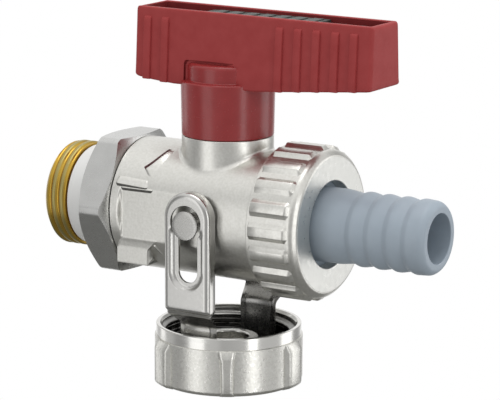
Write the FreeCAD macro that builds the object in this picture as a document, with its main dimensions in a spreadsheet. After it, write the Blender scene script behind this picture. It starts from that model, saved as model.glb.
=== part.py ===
import FreeCAD, Part
import os
import re

import Sketcher
from FreeCAD import Placement, Rotation, Vector

# Ball drain cock with hose union and hanging sealing cap, in millimetres.
# X runs along the water way from the inlet face of the hexagon, +Z is up
# along the spindle, and the front of the valve looks along -Y.

SIZES = [
    # Inlet end piece
    ("InletThreadDia", 20.955, "G 1/2 male thread, major diameter"),
    ("InletThreadLength", 4.6, "length of the male thread"),
    ("ThreadChamfer", 0.8, "lead-in chamfer of every thread"),
    ("SealWidth", 5.1, "length of the white sealing ring"),
    ("SealLipDia", 20.0, "sealing ring diameter at the thread"),
    ("SealBackDia", 21.2, "sealing ring diameter at the hexagon"),
    ("SealNeckDia", 17.2, "neck that the sealing ring sits on"),
    ("HexAcross", 26.5, "hexagon across flats"),
    ("HexCornerDia", 30.0, "turned diameter that clips the corners"),
    ("HexThick", 5.8, "thickness of the hexagon"),
    ("HexBevel", 1.3, "axial length of the hexagon's turned bevels"),
    ("InletBore", 12.0, "water way in the inlet"),
    # Body
    ("FaceToStem", 26.3, "inlet face of the hexagon to the spindle axis"),
    ("BarrelDia", 25.8, "round body"),
    ("CollarDia", 26.9, "collar of the body beside the hexagon"),
    ("CollarWidth", 1.3, "width of that collar"),
    ("BodyBore", 21.9, "bore that holds the ball and its seats"),
    ("OutletBore", 12.0, "water way in the outlet"),
    ("SpigotDia", 26.441, "G 3/4 outlet thread, major diameter"),
    ("SpigotReach", 17.9, "spindle axis to the outlet face"),
    ("NeckDia", 17.9, "neck below the handle"),
    ("NeckTop", 15.2, "height of the neck above the water way"),
    ("NeckFillet", 0.6, "fillet where the neck meets the round body"),
    ("BonnetDia", 13.2, "turned bonnet inside the handle hub"),
    ("BonnetTop", 21.5, "height of the bonnet"),
    ("PadDepth", 11.9, "axis to the flat pads on both sides"),
    ("PadStart", 17.3, "spindle axis to the near end of the pads"),
    ("PadEnd", 5.0, "spindle axis to the far end of the pads"),
    ("PadHalf", 5.0, "half height of the pads"),
    ("PadGroove", 0.7, "height of the groove along the top of a pad"),
    ("LugStart", 18.6, "spindle axis to the near end of the lugs"),
    ("LugEnd", 11.6, "spindle axis to the far end of the lugs"),
    ("LugDepth", 11.5, "axis to the outer face of the lugs"),
    ("LugTop", 7.0, "axis to the bevel above the lugs"),
    ("LugLow", 10.2, "axis to the underside of the lugs"),
    # Ball and seats
    ("BallDia", 18.0, "ball"),
    ("BallBore", 10.0, "water way in the ball"),
    ("SeatReach", 9.4, "ball centre to the back of a seat"),
    ("SeatFront", 5.9, "ball centre to the front of a seat"),
    ("SeatFit", 0.05, "gap round the seats and beside the ball"),
    # Spindle
    ("StemDia", 7.0, "spindle"),
    ("RunClear", 0.05, "running clearance"),
    ("StemCollarDia", 10.0, "collar that the pressure holds in"),
    ("StemCollarThick", 1.4, "thickness of the spindle collar"),
    ("StemCollarTop", 10.7, "top of the spindle collar"),
    ("StemWasherThick", 0.5, "thrust washer"),
    ("TangThick", 3.0, "tang that turns the ball"),
    ("TangWide", 7.6, "width of the tang"),
    ("SlotFloor", 6.2, "bottom of the slot in the ball"),
    ("RingCord", 1.1, "depth of an O ring groove"),
    ("RingFree", 0.1, "free space under an O ring"),
    ("RingLower", 13.4, "height of the lower O ring"),
    ("RingUpper", 17.6, "height of the upper O ring"),
    ("SquareAcross", 4.8, "square on top of the spindle"),
    ("SquareLow", 22.0, "bottom of the square"),
    ("StemTop", 29.0, "top of the spindle"),
    # Handle
    ("HandleBack", 17.3, "spindle axis to the short end of the handle"),
    ("HandleFront", 34.1, "spindle axis to the long end"),
    ("HandleTop", 39.3, "height of the handle rim"),
    ("HandleLow", 25.3, "underside of the handle beside the hub"),
    ("HandleWideLow", 11.9, "handle width at the bottom"),
    ("HandleWideTop", 10.2, "handle width at the rim"),
    ("BackRise", 0.8, "rise of the underside to the short end"),
    ("FrontRise", 2.1, "rise of the underside to the long end"),
    ("HandleRound", 0.8, "rounded upright corners of the handle"),
    ("HandleWall", 1.1, "wall of the handle at the rim"),
    ("TroughFloor", 28.8, "height of the floor in the handle"),
    ("GripRibWidth", 1.6, "width of a grip rib"),
    ("GripRibProud", 0.45, "height of a grip rib on the wall"),
    ("GripRibDrop", 0.25, "how far the grip ribs hang below the handle"),
    ("GripRibTop", 37.9, "top of the grip ribs"),
    ("GripRibPitch", 4.0, "spacing of the grip ribs"),
    ("FrontRibStart", 13.8, "spindle axis to the first rib of the long arm"),
    ("BackRibStart", 10.1, "spindle axis to the first rib of the short arm"),
    ("HubDiaLow", 17.9, "hub diameter at the bottom"),
    ("HubDiaTop", 18.35, "hub diameter at its shoulder"),
    ("HubLow", 15.5, "height of the hub's lower edge"),
    ("HubShoulder", 26.2, "height of the hub's shoulder"),
    ("BossDia", 15.9, "round boss above the shoulder"),
    ("BossTop", 30.4, "height of the boss"),
    ("BossRound", 0.8, "rounded edge of the boss"),
    ("HubCavityDia", 14.4, "hollow of the hub round the bonnet"),
    ("HubCavityTop", 23.5, "top of that hollow"),
    ("ScrewDia", 4.0, "handle screw"),
    ("ScrewHeadDia", 7.2, "head of the handle screw"),
    ("ScrewHeadThick", 2.6, "height of the screw head"),
    ("ScrewEnd", 19.5, "lower end of the handle screw"),
    ("InsertBack", 5.4, "spindle axis to the short end of the insert"),
    ("InsertFront", 21.7, "spindle axis to the long end of the insert"),
    ("InsertThick", 1.5, "thickness of the insert"),
    ("InsertDrop", 0.8, "rim to the top of the insert"),
    ("InsertGap", 0.1, "gap round the insert"),
    ("WebThick", 1.2, "cross webs under the insert"),
    # Hose union
    ("NutRear", 12.7, "spindle axis to the rear of the union nut"),
    ("NutFront", 22.7, "spindle axis to the front of the union nut"),
    ("NutDia", 28.7, "union nut without its ribs"),
    ("NutRim", 0.8, "plain rim behind the nut ribs"),
    ("NutRibDia", 30.2, "union nut over its ribs"),
    ("NutRibWide", 2.6, "width of a nut rib"),
    ("NutTurn", 1.4, "turn of the nut ribs from the front"),
    ("NutRibCount", 20, "ribs round the nut"),
    ("NutBevel", 1.3, "axial length of the front bevel"),
    ("NutWall", 1.8, "front wall of the union nut"),
    ("NutBore", 16.8, "hole in the front wall"),
    ("NutThreadGap", 0.08, "radial gap in the union thread"),
    ("UnionGap", 0.05, "axial gap at the union faces"),
    ("GasketThick", 1.1, "flat gasket of the union"),
    ("GasketDia", 24.4, "diameter of that gasket"),
    ("FlangeDia", 25.4, "flange of the hose tail"),
    ("TailDia", 14.4, "hose tail and its barbs"),
    ("TailValleyDia", 13.5, "hose tail between the barbs"),
    ("TailBore", 9.6, "water way in the hose tail"),
    ("TailEnd", 46.3, "spindle axis to the end of the hose tail"),
    ("TailTipDia", 11.4, "hose tail at its end face"),
    ("FirstValley", 29.7, "spindle axis to the first valley"),
    ("BarbPitch", 3.93, "spacing of the barbs"),
    ("BarbRise", 1.15, "axial length of a barb's steep side"),
    ("SmoothEnd", 26.2, "spindle axis to the end of the plain tube"),
    # Strap and its pins
    ("PinOffset", 0.3, "pin axis beyond the spindle axis"),
    ("PinDia", 4.0, "pin in the slot"),
    ("PinHeadDia", 5.7, "head of a pin"),
    ("PinHeadThick", 0.45, "thickness of a pin head"),
    ("PinSeat", 1.4, "depth of a pin in the body"),
    ("StrapGap", 0.3, "round body to the inner edge of a leg's rim"),
    ("LegDepth", 2.6, "outer face of a leg to the inner edge of its rim"),
    ("SheetThick", 0.6, "strap sheet"),
    ("LegWidth", 10.2, "width of a leg"),
    ("LegTop", 6.3, "pin axis to the top of a leg"),
    ("LegRound", 0.7, "rounded rim of a leg"),
    ("LegLow", 17.3, "pin axis to the bend below a leg"),
    ("KeyholeDia", 6.84, "round hole for the pin head"),
    ("KeyholeUp", 0.45, "pin axis to the centre of the round hole"),
    ("SlotWidth", 4.26, "slot below the round hole"),
    ("SlotLow", 11.35, "pin axis to the bottom of the slot"),
    ("RecessWidth", 7.6, "pressed recess round the slot, at the leg's face"),
    ("RecessFoot", 5.84, "recess round the slot, at its floor"),
    ("RecessDepth", 0.85, "depth of that recess"),
    ("StripDia", 23.4, "curved strips inside the cap, outside"),
    ("StripWidth", 8.2, "width of the strips"),
    ("StripTop", 20.4, "pin axis to the bend above the strips"),
    # Cap
    ("CapDrop", 22.1, "pin axis to the rim of the cap"),
    ("CapHeight", 11.5, "height of the cap"),
    ("CapRimDia", 28.6, "machined rim of the cap"),
    ("CapRimHeight", 2.3, "height of that rim"),
    ("CapDia", 29.2, "cast part of the cap"),
    ("CapRibDia", 31.0, "cap over its ribs"),
    ("WideRibRoot", 6.4, "width of a broad cap rib at its root"),
    ("WideRibCrest", 5.4, "width of a broad cap rib at its crest"),
    ("SlimRibRoot", 3.2, "width of a narrow cap rib at its root"),
    ("SlimRibCrest", 1.8, "width of a narrow cap rib at its crest"),
    ("CapRibCount", 3, "ribs of each kind round the cap"),
    ("CapRibAngle", 30.4, "turn of the first narrow rib from the front"),
    ("CapRibBevel", 1.6, "height of the turned bevel on the ribs"),
    ("CapFoot", 0.9, "rounded lower edge of the cap"),
    ("CapMouthDia", 26.7, "mouth of the cap's thread"),
    ("CapFloor", 2.0, "floor of the cap"),
    ("CapGasketThick", 1.0, "gasket on the floor of the cap"),
    ("RivetDia", 5.0, "shank of the hollow rivet"),
    ("RivetHoleGap", 0.1, "gap round the shank in the strap"),
    ("RivetRingDia", 11.8, "ring head of the rivet"),
    ("RivetRingWall", 2.0, "wall of the ring head"),
    ("RivetRingTop", 25.0, "pin axis to the top of the ring head"),
    ("RivetFootDia", 8.0, "foot of the rivet under the cap"),
    ("RivetFootThick", 0.8, "thickness of that foot"),
]

BARB_COUNT = 4
FRONT_RIB_COUNT = 5
BACK_RIB_COUNT = 2

document = FreeCAD.newDocument("DrainCock")
sheet = document.addObject("Spreadsheet::Sheet", "Sizes")


# Sheet and formulas

def write_sizes():
    for row, (alias, size, meaning) in enumerate(SIZES, start=1):
        sheet.set(f"A{row}", meaning)
        sheet.set(f"B{row}", str(size))
        sheet.setAlias(f"B{row}", alias)
    document.recompute()


def formula(text):
    """A size formula with every alias pointed at the sheet."""
    return re.sub(r"\b[A-Z][A-Za-z]+\b", lambda word: "Sizes." + word.group(), text)


def number(text):
    """What a size formula comes to now."""
    result = sheet.evalExpression(formula(text))
    return float(getattr(result, "Value", result))


def bind(feature, **sizes):
    for name, text in sizes.items():
        feature.setExpression(name, formula(text))


def place(feature, x="0", y="0", z="0", rotation=None):
    """Put a feature at bound coordinates, turned by a fixed rotation."""
    feature.Placement = Placement(Vector(), rotation or Rotation())
    for axis, text in zip("xyz", (x, y, z)):
        feature.setExpression(f".Placement.Base.{axis}", formula(text))


ALONG_X = Rotation(Vector(0, 1, 0), 90)
ALONG_FRONT = Rotation(Vector(1, 0, 0), 90)
ALONG_BACK = Rotation(Vector(1, 0, 0), -90)


# Part primitives and booleans

def cylinder(name, diameter, length, x="0", y="0", z="0", rotation=None):
    feature = document.addObject("Part::Cylinder", name)
    bind(feature, Radius=f"({diameter}) / 2", Height=length)
    place(feature, x, y, z, rotation)
    return feature


def block(name, size, low):
    """Box with bound edge lengths and a bound low corner."""
    feature = document.addObject("Part::Box", name)
    bind(feature, Length=size[0], Width=size[1], Height=size[2])
    place(feature, *low)
    return feature


def fuse(name, *pieces):
    feature = document.addObject("Part::MultiFuse", name)
    feature.Shapes = list(pieces)
    feature.Refine = True
    return feature


def cut(name, base, *tools):
    feature = document.addObject("Part::Cut", name)
    feature.Base = base
    feature.Tool = tools[0] if len(tools) == 1 else fuse(name + "Tools", *tools)
    feature.Refine = True
    return feature


def common(name, first, second):
    feature = document.addObject("Part::MultiCommon", name)
    feature.Shapes = [first, second]
    return feature


def mirror(name, piece):
    """The same piece on the back of the valve."""
    feature = document.addObject("Part::Mirroring", name)
    feature.Source = piece
    feature.Base = Vector()
    feature.Normal = Vector(0, 1, 0)
    return feature


def fillet(name, piece, radius, chosen):
    """Round the edges of a piece that the function chosen accepts."""
    document.recompute()
    feature = document.addObject("Part::Fillet", name)
    feature.Base = piece
    size = number(radius)
    edges = piece.Shape.Edges
    feature.Edges = [(index, size, size) for index, edge in enumerate(edges, 1) if chosen(edge)]
    return feature


# Sketches and PartDesign bodies

def origin_plane(body, role):
    return next(item for item in body.Origin.OriginFeatures if item.Role == role)


def polygon(body, name, role, outline, offset="0"):
    """Closed sketch whose corners are bound to size formulas."""
    sketch = body.newObject("Sketcher::SketchObject", name)
    sketch.AttachmentSupport = [(origin_plane(body, role), "")]
    sketch.MapMode = "FlatFace"
    sketch.setExpression(".AttachmentOffset.Base.z", formula(offset))
    add_outline(sketch, outline)
    return sketch


def add_outline(sketch, outline):
    corners = [Vector(number(across), number(up), 0) for across, up in outline]
    first = sketch.GeometryCount
    total = len(corners)
    for index, corner in enumerate(corners):
        sketch.addGeometry(Part.LineSegment(corner, corners[(index + 1) % total]), False)
    for index in range(total):
        after = first + (index + 1) % total
        sketch.addConstraint(Sketcher.Constraint("Coincident", first + index, 2, after, 1))
    for index, (across, up) in enumerate(outline):
        fix(sketch, "DistanceX", first + index, across, -2)
        fix(sketch, "DistanceY", first + index, up, -1)


def fix(sketch, kind, line, text, axis):
    """Hold the first point of a line at a bound distance, or on an axis."""
    if text == "0":
        sketch.addConstraint(Sketcher.Constraint("PointOnObject", line, 1, axis))
        return
    entry = sketch.addConstraint(Sketcher.Constraint(kind, line, 1, number(text)))
    sketch.setExpression(f"Constraints[{entry}]", formula(text))


def turned(name, axis, outline, x="0"):
    """Solid of revolution from (along, radius) corners, about X or about the upright at x."""
    body = document.addObject("PartDesign::Body", name)
    revolve(body, name + "Turning", axis, outline)
    place(body, x)
    return body


def revolve(body, name, axis, outline, kind="PartDesign::Revolution"):
    if axis == "X":
        corners = outline
    else:
        corners = [(radius, along) for along, radius in outline]
    sketch = polygon(body, name + "Profile", "XZ_Plane", corners)
    feature = body.newObject(kind, name)
    feature.Profile = sketch
    feature.ReferenceAxis = (sketch, ["H_Axis" if axis == "X" else "V_Axis"])
    feature.Angle = 360
    body.Tip = feature
    return feature


def pad(body, name, sketch, length, midplane=False):
    feature = body.newObject("PartDesign::Pad", name)
    feature.Profile = sketch
    feature.SideType = "Symmetric" if midplane else "One side"
    bind(feature, Length=length)
    body.Tip = feature
    return feature


def pocket(body, name, sketch, depth, midplane=False, reverse=False):
    """Pocket that has to take material away."""
    document.recompute()
    before = body.Shape.Volume
    feature = body.newObject("PartDesign::Pocket", name)
    feature.Profile = sketch
    feature.SideType = "Symmetric" if midplane else "One side"
    feature.Reversed = reverse
    bind(feature, Length=depth)
    body.Tip = feature
    document.recompute()
    if body.Shape.Volume >= before:
        raise RuntimeError(f"{name} cuts nothing")
    return feature


def row(body, name, original, pitch, count):
    """Linear pattern along X."""
    feature = body.newObject("PartDesign::LinearPattern", name)
    feature.Originals = [original]
    feature.Direction = (origin_plane(body, "X_Axis"), [""])
    feature.Occurrences = count
    bind(feature, Length=f"{pitch} * {count - 1}")
    body.Tip = feature
    return feature


def ring_of(body, name, original, role, count):
    """Polar pattern round one of the body's axes."""
    feature = body.newObject("PartDesign::PolarPattern", name)
    feature.Originals = [original]
    feature.Axis = (origin_plane(body, role), [""])
    feature.Angle = 360
    bind(feature, Occurrences=count)
    body.Tip = feature
    return feature


NODES = {}


def node(name, feature):
    """Name the finished piece and keep it for export."""
    feature.Label = name
    NODES[name] = feature
    return feature


# Inlet end

def end_connector():
    """Turned end piece: thread, neck, hexagon and the plug that closes the body."""
    plug_end = "FaceToStem - SeatReach - SeatFit"
    plug_radius = "BodyBore / 2 - SeatFit"
    shaft = turned("ConnectorShaft", "X", [
        ("-SealWidth - InletThreadLength", "InletBore / 2"),
        ("-SealWidth - InletThreadLength", "InletThreadDia / 2 - ThreadChamfer"),
        ("-SealWidth - InletThreadLength + ThreadChamfer", "InletThreadDia / 2"),
        ("-SealWidth", "InletThreadDia / 2"),
        ("-SealWidth", "SealNeckDia / 2"),
        ("HexThick / 2", "SealNeckDia / 2"),
        ("HexThick / 2", plug_radius),
        (plug_end + " - ThreadChamfer", plug_radius),
        (plug_end, plug_radius + " - ThreadChamfer"),
        (plug_end, "BallBore / 2"),
        (plug_end + " - InletBore / 2 + BallBore / 2", "BallBore / 2"),
        (plug_end + " - InletBore + BallBore", "InletBore / 2"),
    ])
    prism = document.addObject("Part::Prism", "HexStock")
    prism.Polygon = 6
    bind(prism, Circumradius="HexAcross / sqrt(3)", Height="HexThick")
    place(prism, rotation=ALONG_X * Rotation(Vector(0, 0, 1), 90))
    clip = turned("HexTurning", "X", [
        ("0", "0"),
        ("0", "HexAcross / 2 - HexBevel / 4"),
        ("HexBevel", "HexCornerDia / 2"),
        ("HexThick - HexBevel / 2", "HexCornerDia / 2"),
        ("HexThick", "HexAcross / 2 + HexBevel / 4"),
        ("HexThick", "0"),
    ])
    hexagon = common("Hexagon", prism, clip)
    bore = cylinder("HexBore", "InletBore", "HexThick", rotation=ALONG_X)
    drilled = cut("HexagonDrilled", hexagon, bore)
    node("end_connector", fuse("EndConnector", shaft, drilled))


def thread_seal_ring():
    node("thread_seal_ring", turned("ThreadSealRing", "X", [
        ("-SealWidth", "SealNeckDia / 2"),
        ("-SealWidth", "SealLipDia / 2"),
        ("0", "SealBackDia / 2"),
        ("0", "SealNeckDia / 2"),
    ]))


# Body

def outer_body():
    """Round body with its neck, filleted into each other."""
    barrel = turned("Barrel", "X", [
        ("HexThick", "0"),
        ("HexThick", "CollarDia / 2"),
        ("HexThick + CollarWidth", "CollarDia / 2"),
        ("HexThick + CollarWidth + CollarDia - BarrelDia", "BarrelDia / 2"),
        ("FaceToStem + NutRear - UnionGap", "BarrelDia / 2"),
        ("FaceToStem + NutRear - UnionGap", "SpigotDia / 2"),
        ("FaceToStem + SpigotReach - ThreadChamfer", "SpigotDia / 2"),
        ("FaceToStem + SpigotReach", "SpigotDia / 2 - ThreadChamfer"),
        ("FaceToStem + SpigotReach", "0"),
    ])
    neck = cylinder("Neck", "NeckDia", "NeckTop", x="FaceToStem")
    joined = fuse("BarrelAndNeck", barrel, neck)
    low = number("NeckDia") / 4
    high = number("NeckTop") - 0.5
    limit = number("NeckDia") / 2 + 0.2

    def where_they_meet(edge):
        box = edge.BoundBox
        middle = number("FaceToStem")
        beside = abs(box.XMin - middle) < limit and abs(box.XMax - middle) < limit
        return beside and low < box.ZMin and box.ZMax < high and box.ZLength > 0.5

    return fillet("FilletedBody", joined, "NeckFillet", where_they_meet)


def side_lug():
    """Forged lug below the front pad, with the bevel that joins them."""
    body = document.addObject("PartDesign::Body", "FrontLug")
    outline = [
        ("-PadDepth", "-PadHalf + PadGroove"),
        ("-PadDepth", "-PadHalf"),
        ("-LugDepth", "-LugTop"),
        ("-LugDepth", "-LugLow"),
        ("-BodyBore / 4", "-LugLow"),
        ("-BodyBore / 4", "-PadHalf + PadGroove"),
    ]
    sketch = polygon(body, "LugSection", "YZ_Plane", outline, "FaceToStem - LugStart")
    pad(body, "LugPad", sketch, "LugStart - LugEnd")
    return body


def pad_cuts():
    """Flat and top groove of the front pad."""
    flat = block(
        "PadFlat",
        ("PadStart - PadEnd", "BarrelDia / 2", "2 * PadHalf"),
        ("FaceToStem - PadStart", "-PadDepth - BarrelDia / 2", "-PadHalf"),
    )
    groove = block(
        "PadGrooveCut",
        ("PadStart - LugEnd + PadGroove", "BarrelDia / 2", "PadGroove"),
        ("FaceToStem - PadStart", "-PadDepth + PadGroove - BarrelDia / 2", "PadHalf - PadGroove / 2"),
    )
    return fuse("FrontPadCuts", flat, groove)


def valve_body():
    lug = side_lug()
    cuts = pad_cuts()
    bonnet = cylinder("Bonnet", "BonnetDia", "BonnetTop", x="FaceToStem")
    solid = fuse("BodySolid", outer_body(), bonnet, lug, mirror("BackLug", lug))
    chamber = cylinder(
        "Chamber", "BodyBore", "FaceToStem + SeatReach + SeatFit - HexThick / 2",
        x="HexThick / 2", rotation=ALONG_X,
    )
    outlet = cylinder("OutletWay", "OutletBore", "SpigotReach + 1", x="FaceToStem", rotation=ALONG_X)
    stem_bore = cylinder("StemBore", "StemDia + 2 * RunClear", "BonnetTop + 1", x="FaceToStem")
    pocket_bore = cylinder(
        "CollarPocket", "StemCollarDia + 4 * RunClear",
        "StemCollarTop + StemWasherThick + 2 * RunClear", x="FaceToStem",
    )
    pin_hole = cylinder(
        "PinHole", "PinDia + 2 * RunClear", "BarrelDia / 2",
        x="FaceToStem + PinOffset", y="-BarrelDia / 2 + PinSeat + RunClear", rotation=ALONG_FRONT,
    )
    finished = cut(
        "ValveBody", solid, chamber, outlet, stem_bore, pocket_bore,
        pin_hole, mirror("BackPinHole", pin_hole), cuts, mirror("BackPadCuts", cuts),
    )
    node("valve_body", finished)


# Ball and seats

def ball():
    sphere = document.addObject("Part::Sphere", "BallStock")
    bind(sphere, Radius="BallDia / 2")
    place(sphere, "FaceToStem")
    way = cylinder("BallWay", "BallBore", "BallDia", x="FaceToStem - BallDia / 2", rotation=ALONG_X)
    slot = block(
        "BallSlot",
        ("TangThick + 2 * RunClear", "BallDia", "BallDia"),
        ("FaceToStem - TangThick / 2 - RunClear", "-BallDia / 2", "SlotFloor"),
    )
    node("ball", cut("Ball", sphere, way, slot))


def ball_seat(name, side):
    """Soft ring with a hollow that fits the ball, on the side given by a sign."""
    near = f"FaceToStem + ({side}) * SeatFront"
    far = f"FaceToStem + ({side}) * SeatReach"
    outside = "BodyBore / 2 - SeatFit"
    inside = "BallBore / 2 + SeatFit"
    ring = turned(name + "Ring", "X", [(near, inside), (near, outside), (far, outside), (far, inside)])
    sphere = document.addObject("Part::Sphere", name + "Hollow")
    bind(sphere, Radius="BallDia / 2 + SeatFit / 2")
    place(sphere, "FaceToStem")
    return cut(name, ring, sphere)


# Spindle

def stem():
    groove = "StemDia / 2 - RingCord"
    half = "RingCord / 2 + RunClear"
    shaft = turned("StemTurning", "Z", [
        ("StemCollarTop - StemCollarThick", "0"),
        ("StemCollarTop - StemCollarThick", "StemCollarDia / 2"),
        ("StemCollarTop", "StemCollarDia / 2"),
        ("StemCollarTop", "StemDia / 2"),
        (f"RingLower - {half}", "StemDia / 2"),
        (f"RingLower - {half}", groove),
        (f"RingLower + {half}", groove),
        (f"RingLower + {half}", "StemDia / 2"),
        (f"RingUpper - {half}", "StemDia / 2"),
        (f"RingUpper - {half}", groove),
        (f"RingUpper + {half}", groove),
        (f"RingUpper + {half}", "StemDia / 2"),
        ("SquareLow", "StemDia / 2"),
        ("SquareLow", "0"),
    ], "FaceToStem")
    square = block(
        "StemSquare",
        ("SquareAcross", "SquareAcross", "StemTop - SquareLow + StemDia / 2"),
        ("FaceToStem - SquareAcross / 2", "-SquareAcross / 2", "SquareLow - StemDia / 2"),
    )
    tang = block(
        "StemTang",
        ("TangThick", "TangWide", "StemCollarTop - SlotFloor - RunClear"),
        ("FaceToStem - TangThick / 2", "-TangWide / 2", "SlotFloor + RunClear"),
    )
    tapping = cylinder(
        "StemTapping", "ScrewDia + RunClear", "StemTop - ScrewEnd + 1", x="FaceToStem", z="ScrewEnd - RunClear",
    )
    node("stem", cut("Stem", fuse("StemSolid", shaft, square, tang), tapping))


def stem_washer():
    low = "StemCollarTop + RunClear / 2"
    high = "StemCollarTop + StemWasherThick + RunClear"
    node("stem_washer", turned("StemWasher", "Z", [
        (low, "StemDia / 2 + RunClear"),
        (low, "StemCollarDia / 2"),
        (high, "StemCollarDia / 2"),
        (high, "StemDia / 2 + RunClear"),
    ], "FaceToStem"))


def o_ring(name, height):
    feature = document.addObject("Part::Torus", name)
    bind(feature, Radius1="StemDia / 2 - RingCord / 2 + RingFree / 2", Radius2="RingCord / 2 - RingFree / 2")
    place(feature, "FaceToStem", z=height)
    return feature


# Handle

def handle_half_width(height, extra="0"):
    """Half the drafted width of the handle at a height."""
    share = f"({height} - HandleLow) / (HandleTop - HandleLow)"
    return f"(HandleWideLow + (HandleWideTop - HandleWideLow) * {share}) / 2 + {extra}"


def drafted_section(body, name, low, high, start, extra="0"):
    low_half = handle_half_width(low, extra)
    high_half = handle_half_width(high, extra)
    outline = [
        (f"-({low_half})", low),
        (low_half, low),
        (high_half, high),
        (f"-({high_half})", high),
    ]
    return polygon(body, name, "YZ_Plane", outline, start)


def underside(body, name, drop):
    """Take off what lies below the sloping underside of both arms."""
    low = f"HandleLow - {drop}"
    base = "HandleLow - GripRibDrop - 1"
    back = [
        ("-HandleBack - 1", base),
        ("-HandleBack - 1", f"{low} + BackRise * (HandleBack + 1 - HubDiaTop / 2) / (HandleBack - HubDiaTop / 2)"),
        ("-HubDiaTop / 2", low),
        ("-HubDiaTop / 2", base),
    ]
    front = [
        ("HubDiaTop / 2", base),
        ("HubDiaTop / 2", low),
        ("HandleFront + 1", f"{low} + FrontRise * (HandleFront + 1 - HubDiaTop / 2) / (HandleFront - HubDiaTop / 2)"),
        ("HandleFront + 1", base),
    ]
    sketch = polygon(body, name + "Sketch", "XZ_Plane", back)
    add_outline(sketch, front)
    pocket(body, name, sketch, "2 * HandleWideLow", midplane=True)


def grip_ribs(body, name, start, count):
    low = "HandleLow - GripRibDrop"
    sketch = drafted_section(body, name + "Section", low, "GripRibTop", start, "GripRibProud")
    rib = pad(body, name + "Rib", sketch, "GripRibWidth")
    row(body, name + "Row", rib, "GripRibPitch", count)


def handle():
    """Moulded T handle: open trough on a hollow hub, with grip ribs and webs."""
    body = document.addObject("PartDesign::Body", "Handle")
    bar = drafted_section(body, "BarSection", "HandleLow", "HandleTop", "-HandleBack")
    pad(body, "Bar", bar, "HandleBack + HandleFront")
    round_corners(body)
    underside(body, "BarUnderside", "0")
    grip_ribs(body, "FrontGrip", "FrontRibStart", FRONT_RIB_COUNT)
    back_start = f"-BackRibStart - GripRibWidth - GripRibPitch * {BACK_RIB_COUNT - 1}"
    grip_ribs(body, "BackGrip", back_start, BACK_RIB_COUNT)
    underside(body, "RibUnderside", "GripRibDrop")
    trough_half = "HandleWideTop / 2 - HandleWall"
    trough = polygon(body, "TroughSketch", "XY_Plane", [
        ("-HandleBack + HandleWall", f"-({trough_half})"),
        ("HandleFront - HandleWall", f"-({trough_half})"),
        ("HandleFront - HandleWall", trough_half),
        ("-HandleBack + HandleWall", trough_half),
    ], "HandleTop")
    pocket(body, "Trough", trough, "HandleTop - TroughFloor")
    revolve(body, "Hub", "Z", [
        ("HubLow", "0"),
        ("HubLow", "HubDiaLow / 2"),
        ("HubShoulder", "HubDiaTop / 2"),
        ("HubShoulder", "BossDia / 2"),
        ("BossTop - BossRound", "BossDia / 2"),
        ("BossTop - BossRound / 4", "BossDia / 2 - BossRound / 4"),
        ("BossTop", "BossDia / 2 - BossRound"),
        ("BossTop", "0"),
    ])
    insert_low = "HandleTop - InsertDrop - InsertThick"
    webs = polygon(body, "WebSketch", "XY_Plane", web_outline("-InsertBack", "-InsertBack + WebThick"), "TroughFloor")
    add_outline(webs, web_outline("InsertFront - WebThick", "InsertFront"))
    pad(body, "Webs", webs, f"{insert_low} - TroughFloor")
    revolve(body, "HubHollow", "Z", [
        ("HubLow - 1", "0"),
        ("HubLow - 1", "HubCavityDia / 2"),
        ("HubCavityTop", "HubCavityDia / 2"),
        ("HubCavityTop", "ScrewDia / 2 + RunClear"),
        ("BossTop + 1", "ScrewDia / 2 + RunClear"),
        ("BossTop + 1", "0"),
    ], "PartDesign::Groove")
    socket_half = "SquareAcross / 2 + RunClear"
    socket = polygon(body, "SocketSketch", "XY_Plane", [
        (f"-({socket_half})", f"-({socket_half})"),
        (socket_half, f"-({socket_half})"),
        (socket_half, socket_half),
        (f"-({socket_half})", socket_half),
    ], "StemTop + RunClear")
    pocket(body, "Socket", socket, "StemTop + RunClear - HubCavityTop + 1")
    place(body, "FaceToStem")
    node("handle", body)


def web_outline(start, end):
    half = "(HandleWideTop / 2 - HandleWall / 2)"
    return [(start, "-" + half), (end, "-" + half), (end, half), (start, half)]


def round_corners(body):
    """Round the upright corners and the top edges at both ends of the bar."""
    document.recompute()
    bar = body.Tip
    height = number("HandleTop")
    names = [
        f"Edge{index}" for index, edge in enumerate(bar.Shape.Edges, 1)
        if edge.BoundBox.ZMax > height - 0.01 and edge.BoundBox.XLength < 0.1
    ]
    feature = body.newObject("PartDesign::Fillet", "BarCorners")
    feature.Base = (bar, names)
    bind(feature, Radius="HandleRound")
    body.Tip = feature


def handle_screw():
    node("handle_screw", turned("HandleScrew", "Z", [
        ("ScrewEnd", "0"),
        ("ScrewEnd", "ScrewDia / 2"),
        ("BossTop", "ScrewDia / 2"),
        ("BossTop", "ScrewHeadDia / 2"),
        ("BossTop + ScrewHeadThick * 0.6", "ScrewHeadDia / 2"),
        ("BossTop + ScrewHeadThick", "ScrewHeadDia / 4"),
        ("BossTop + ScrewHeadThick", "0"),
    ], "FaceToStem"))


def handle_insert():
    node("handle_insert", block(
        "HandleInsert",
        ("InsertBack + InsertFront", "HandleWideTop - 2 * HandleWall - 2 * InsertGap", "InsertThick"),
        (
            "FaceToStem - InsertBack",
            "-HandleWideTop / 2 + HandleWall + InsertGap",
            "HandleTop - InsertDrop - InsertThick",
        ),
    ))


# Hose union

def from_stem(outline):
    """Shift lengths that are counted from the spindle axis to the inlet face."""
    return [(f"FaceToStem + {along}", radius) for along, radius in outline]


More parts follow.
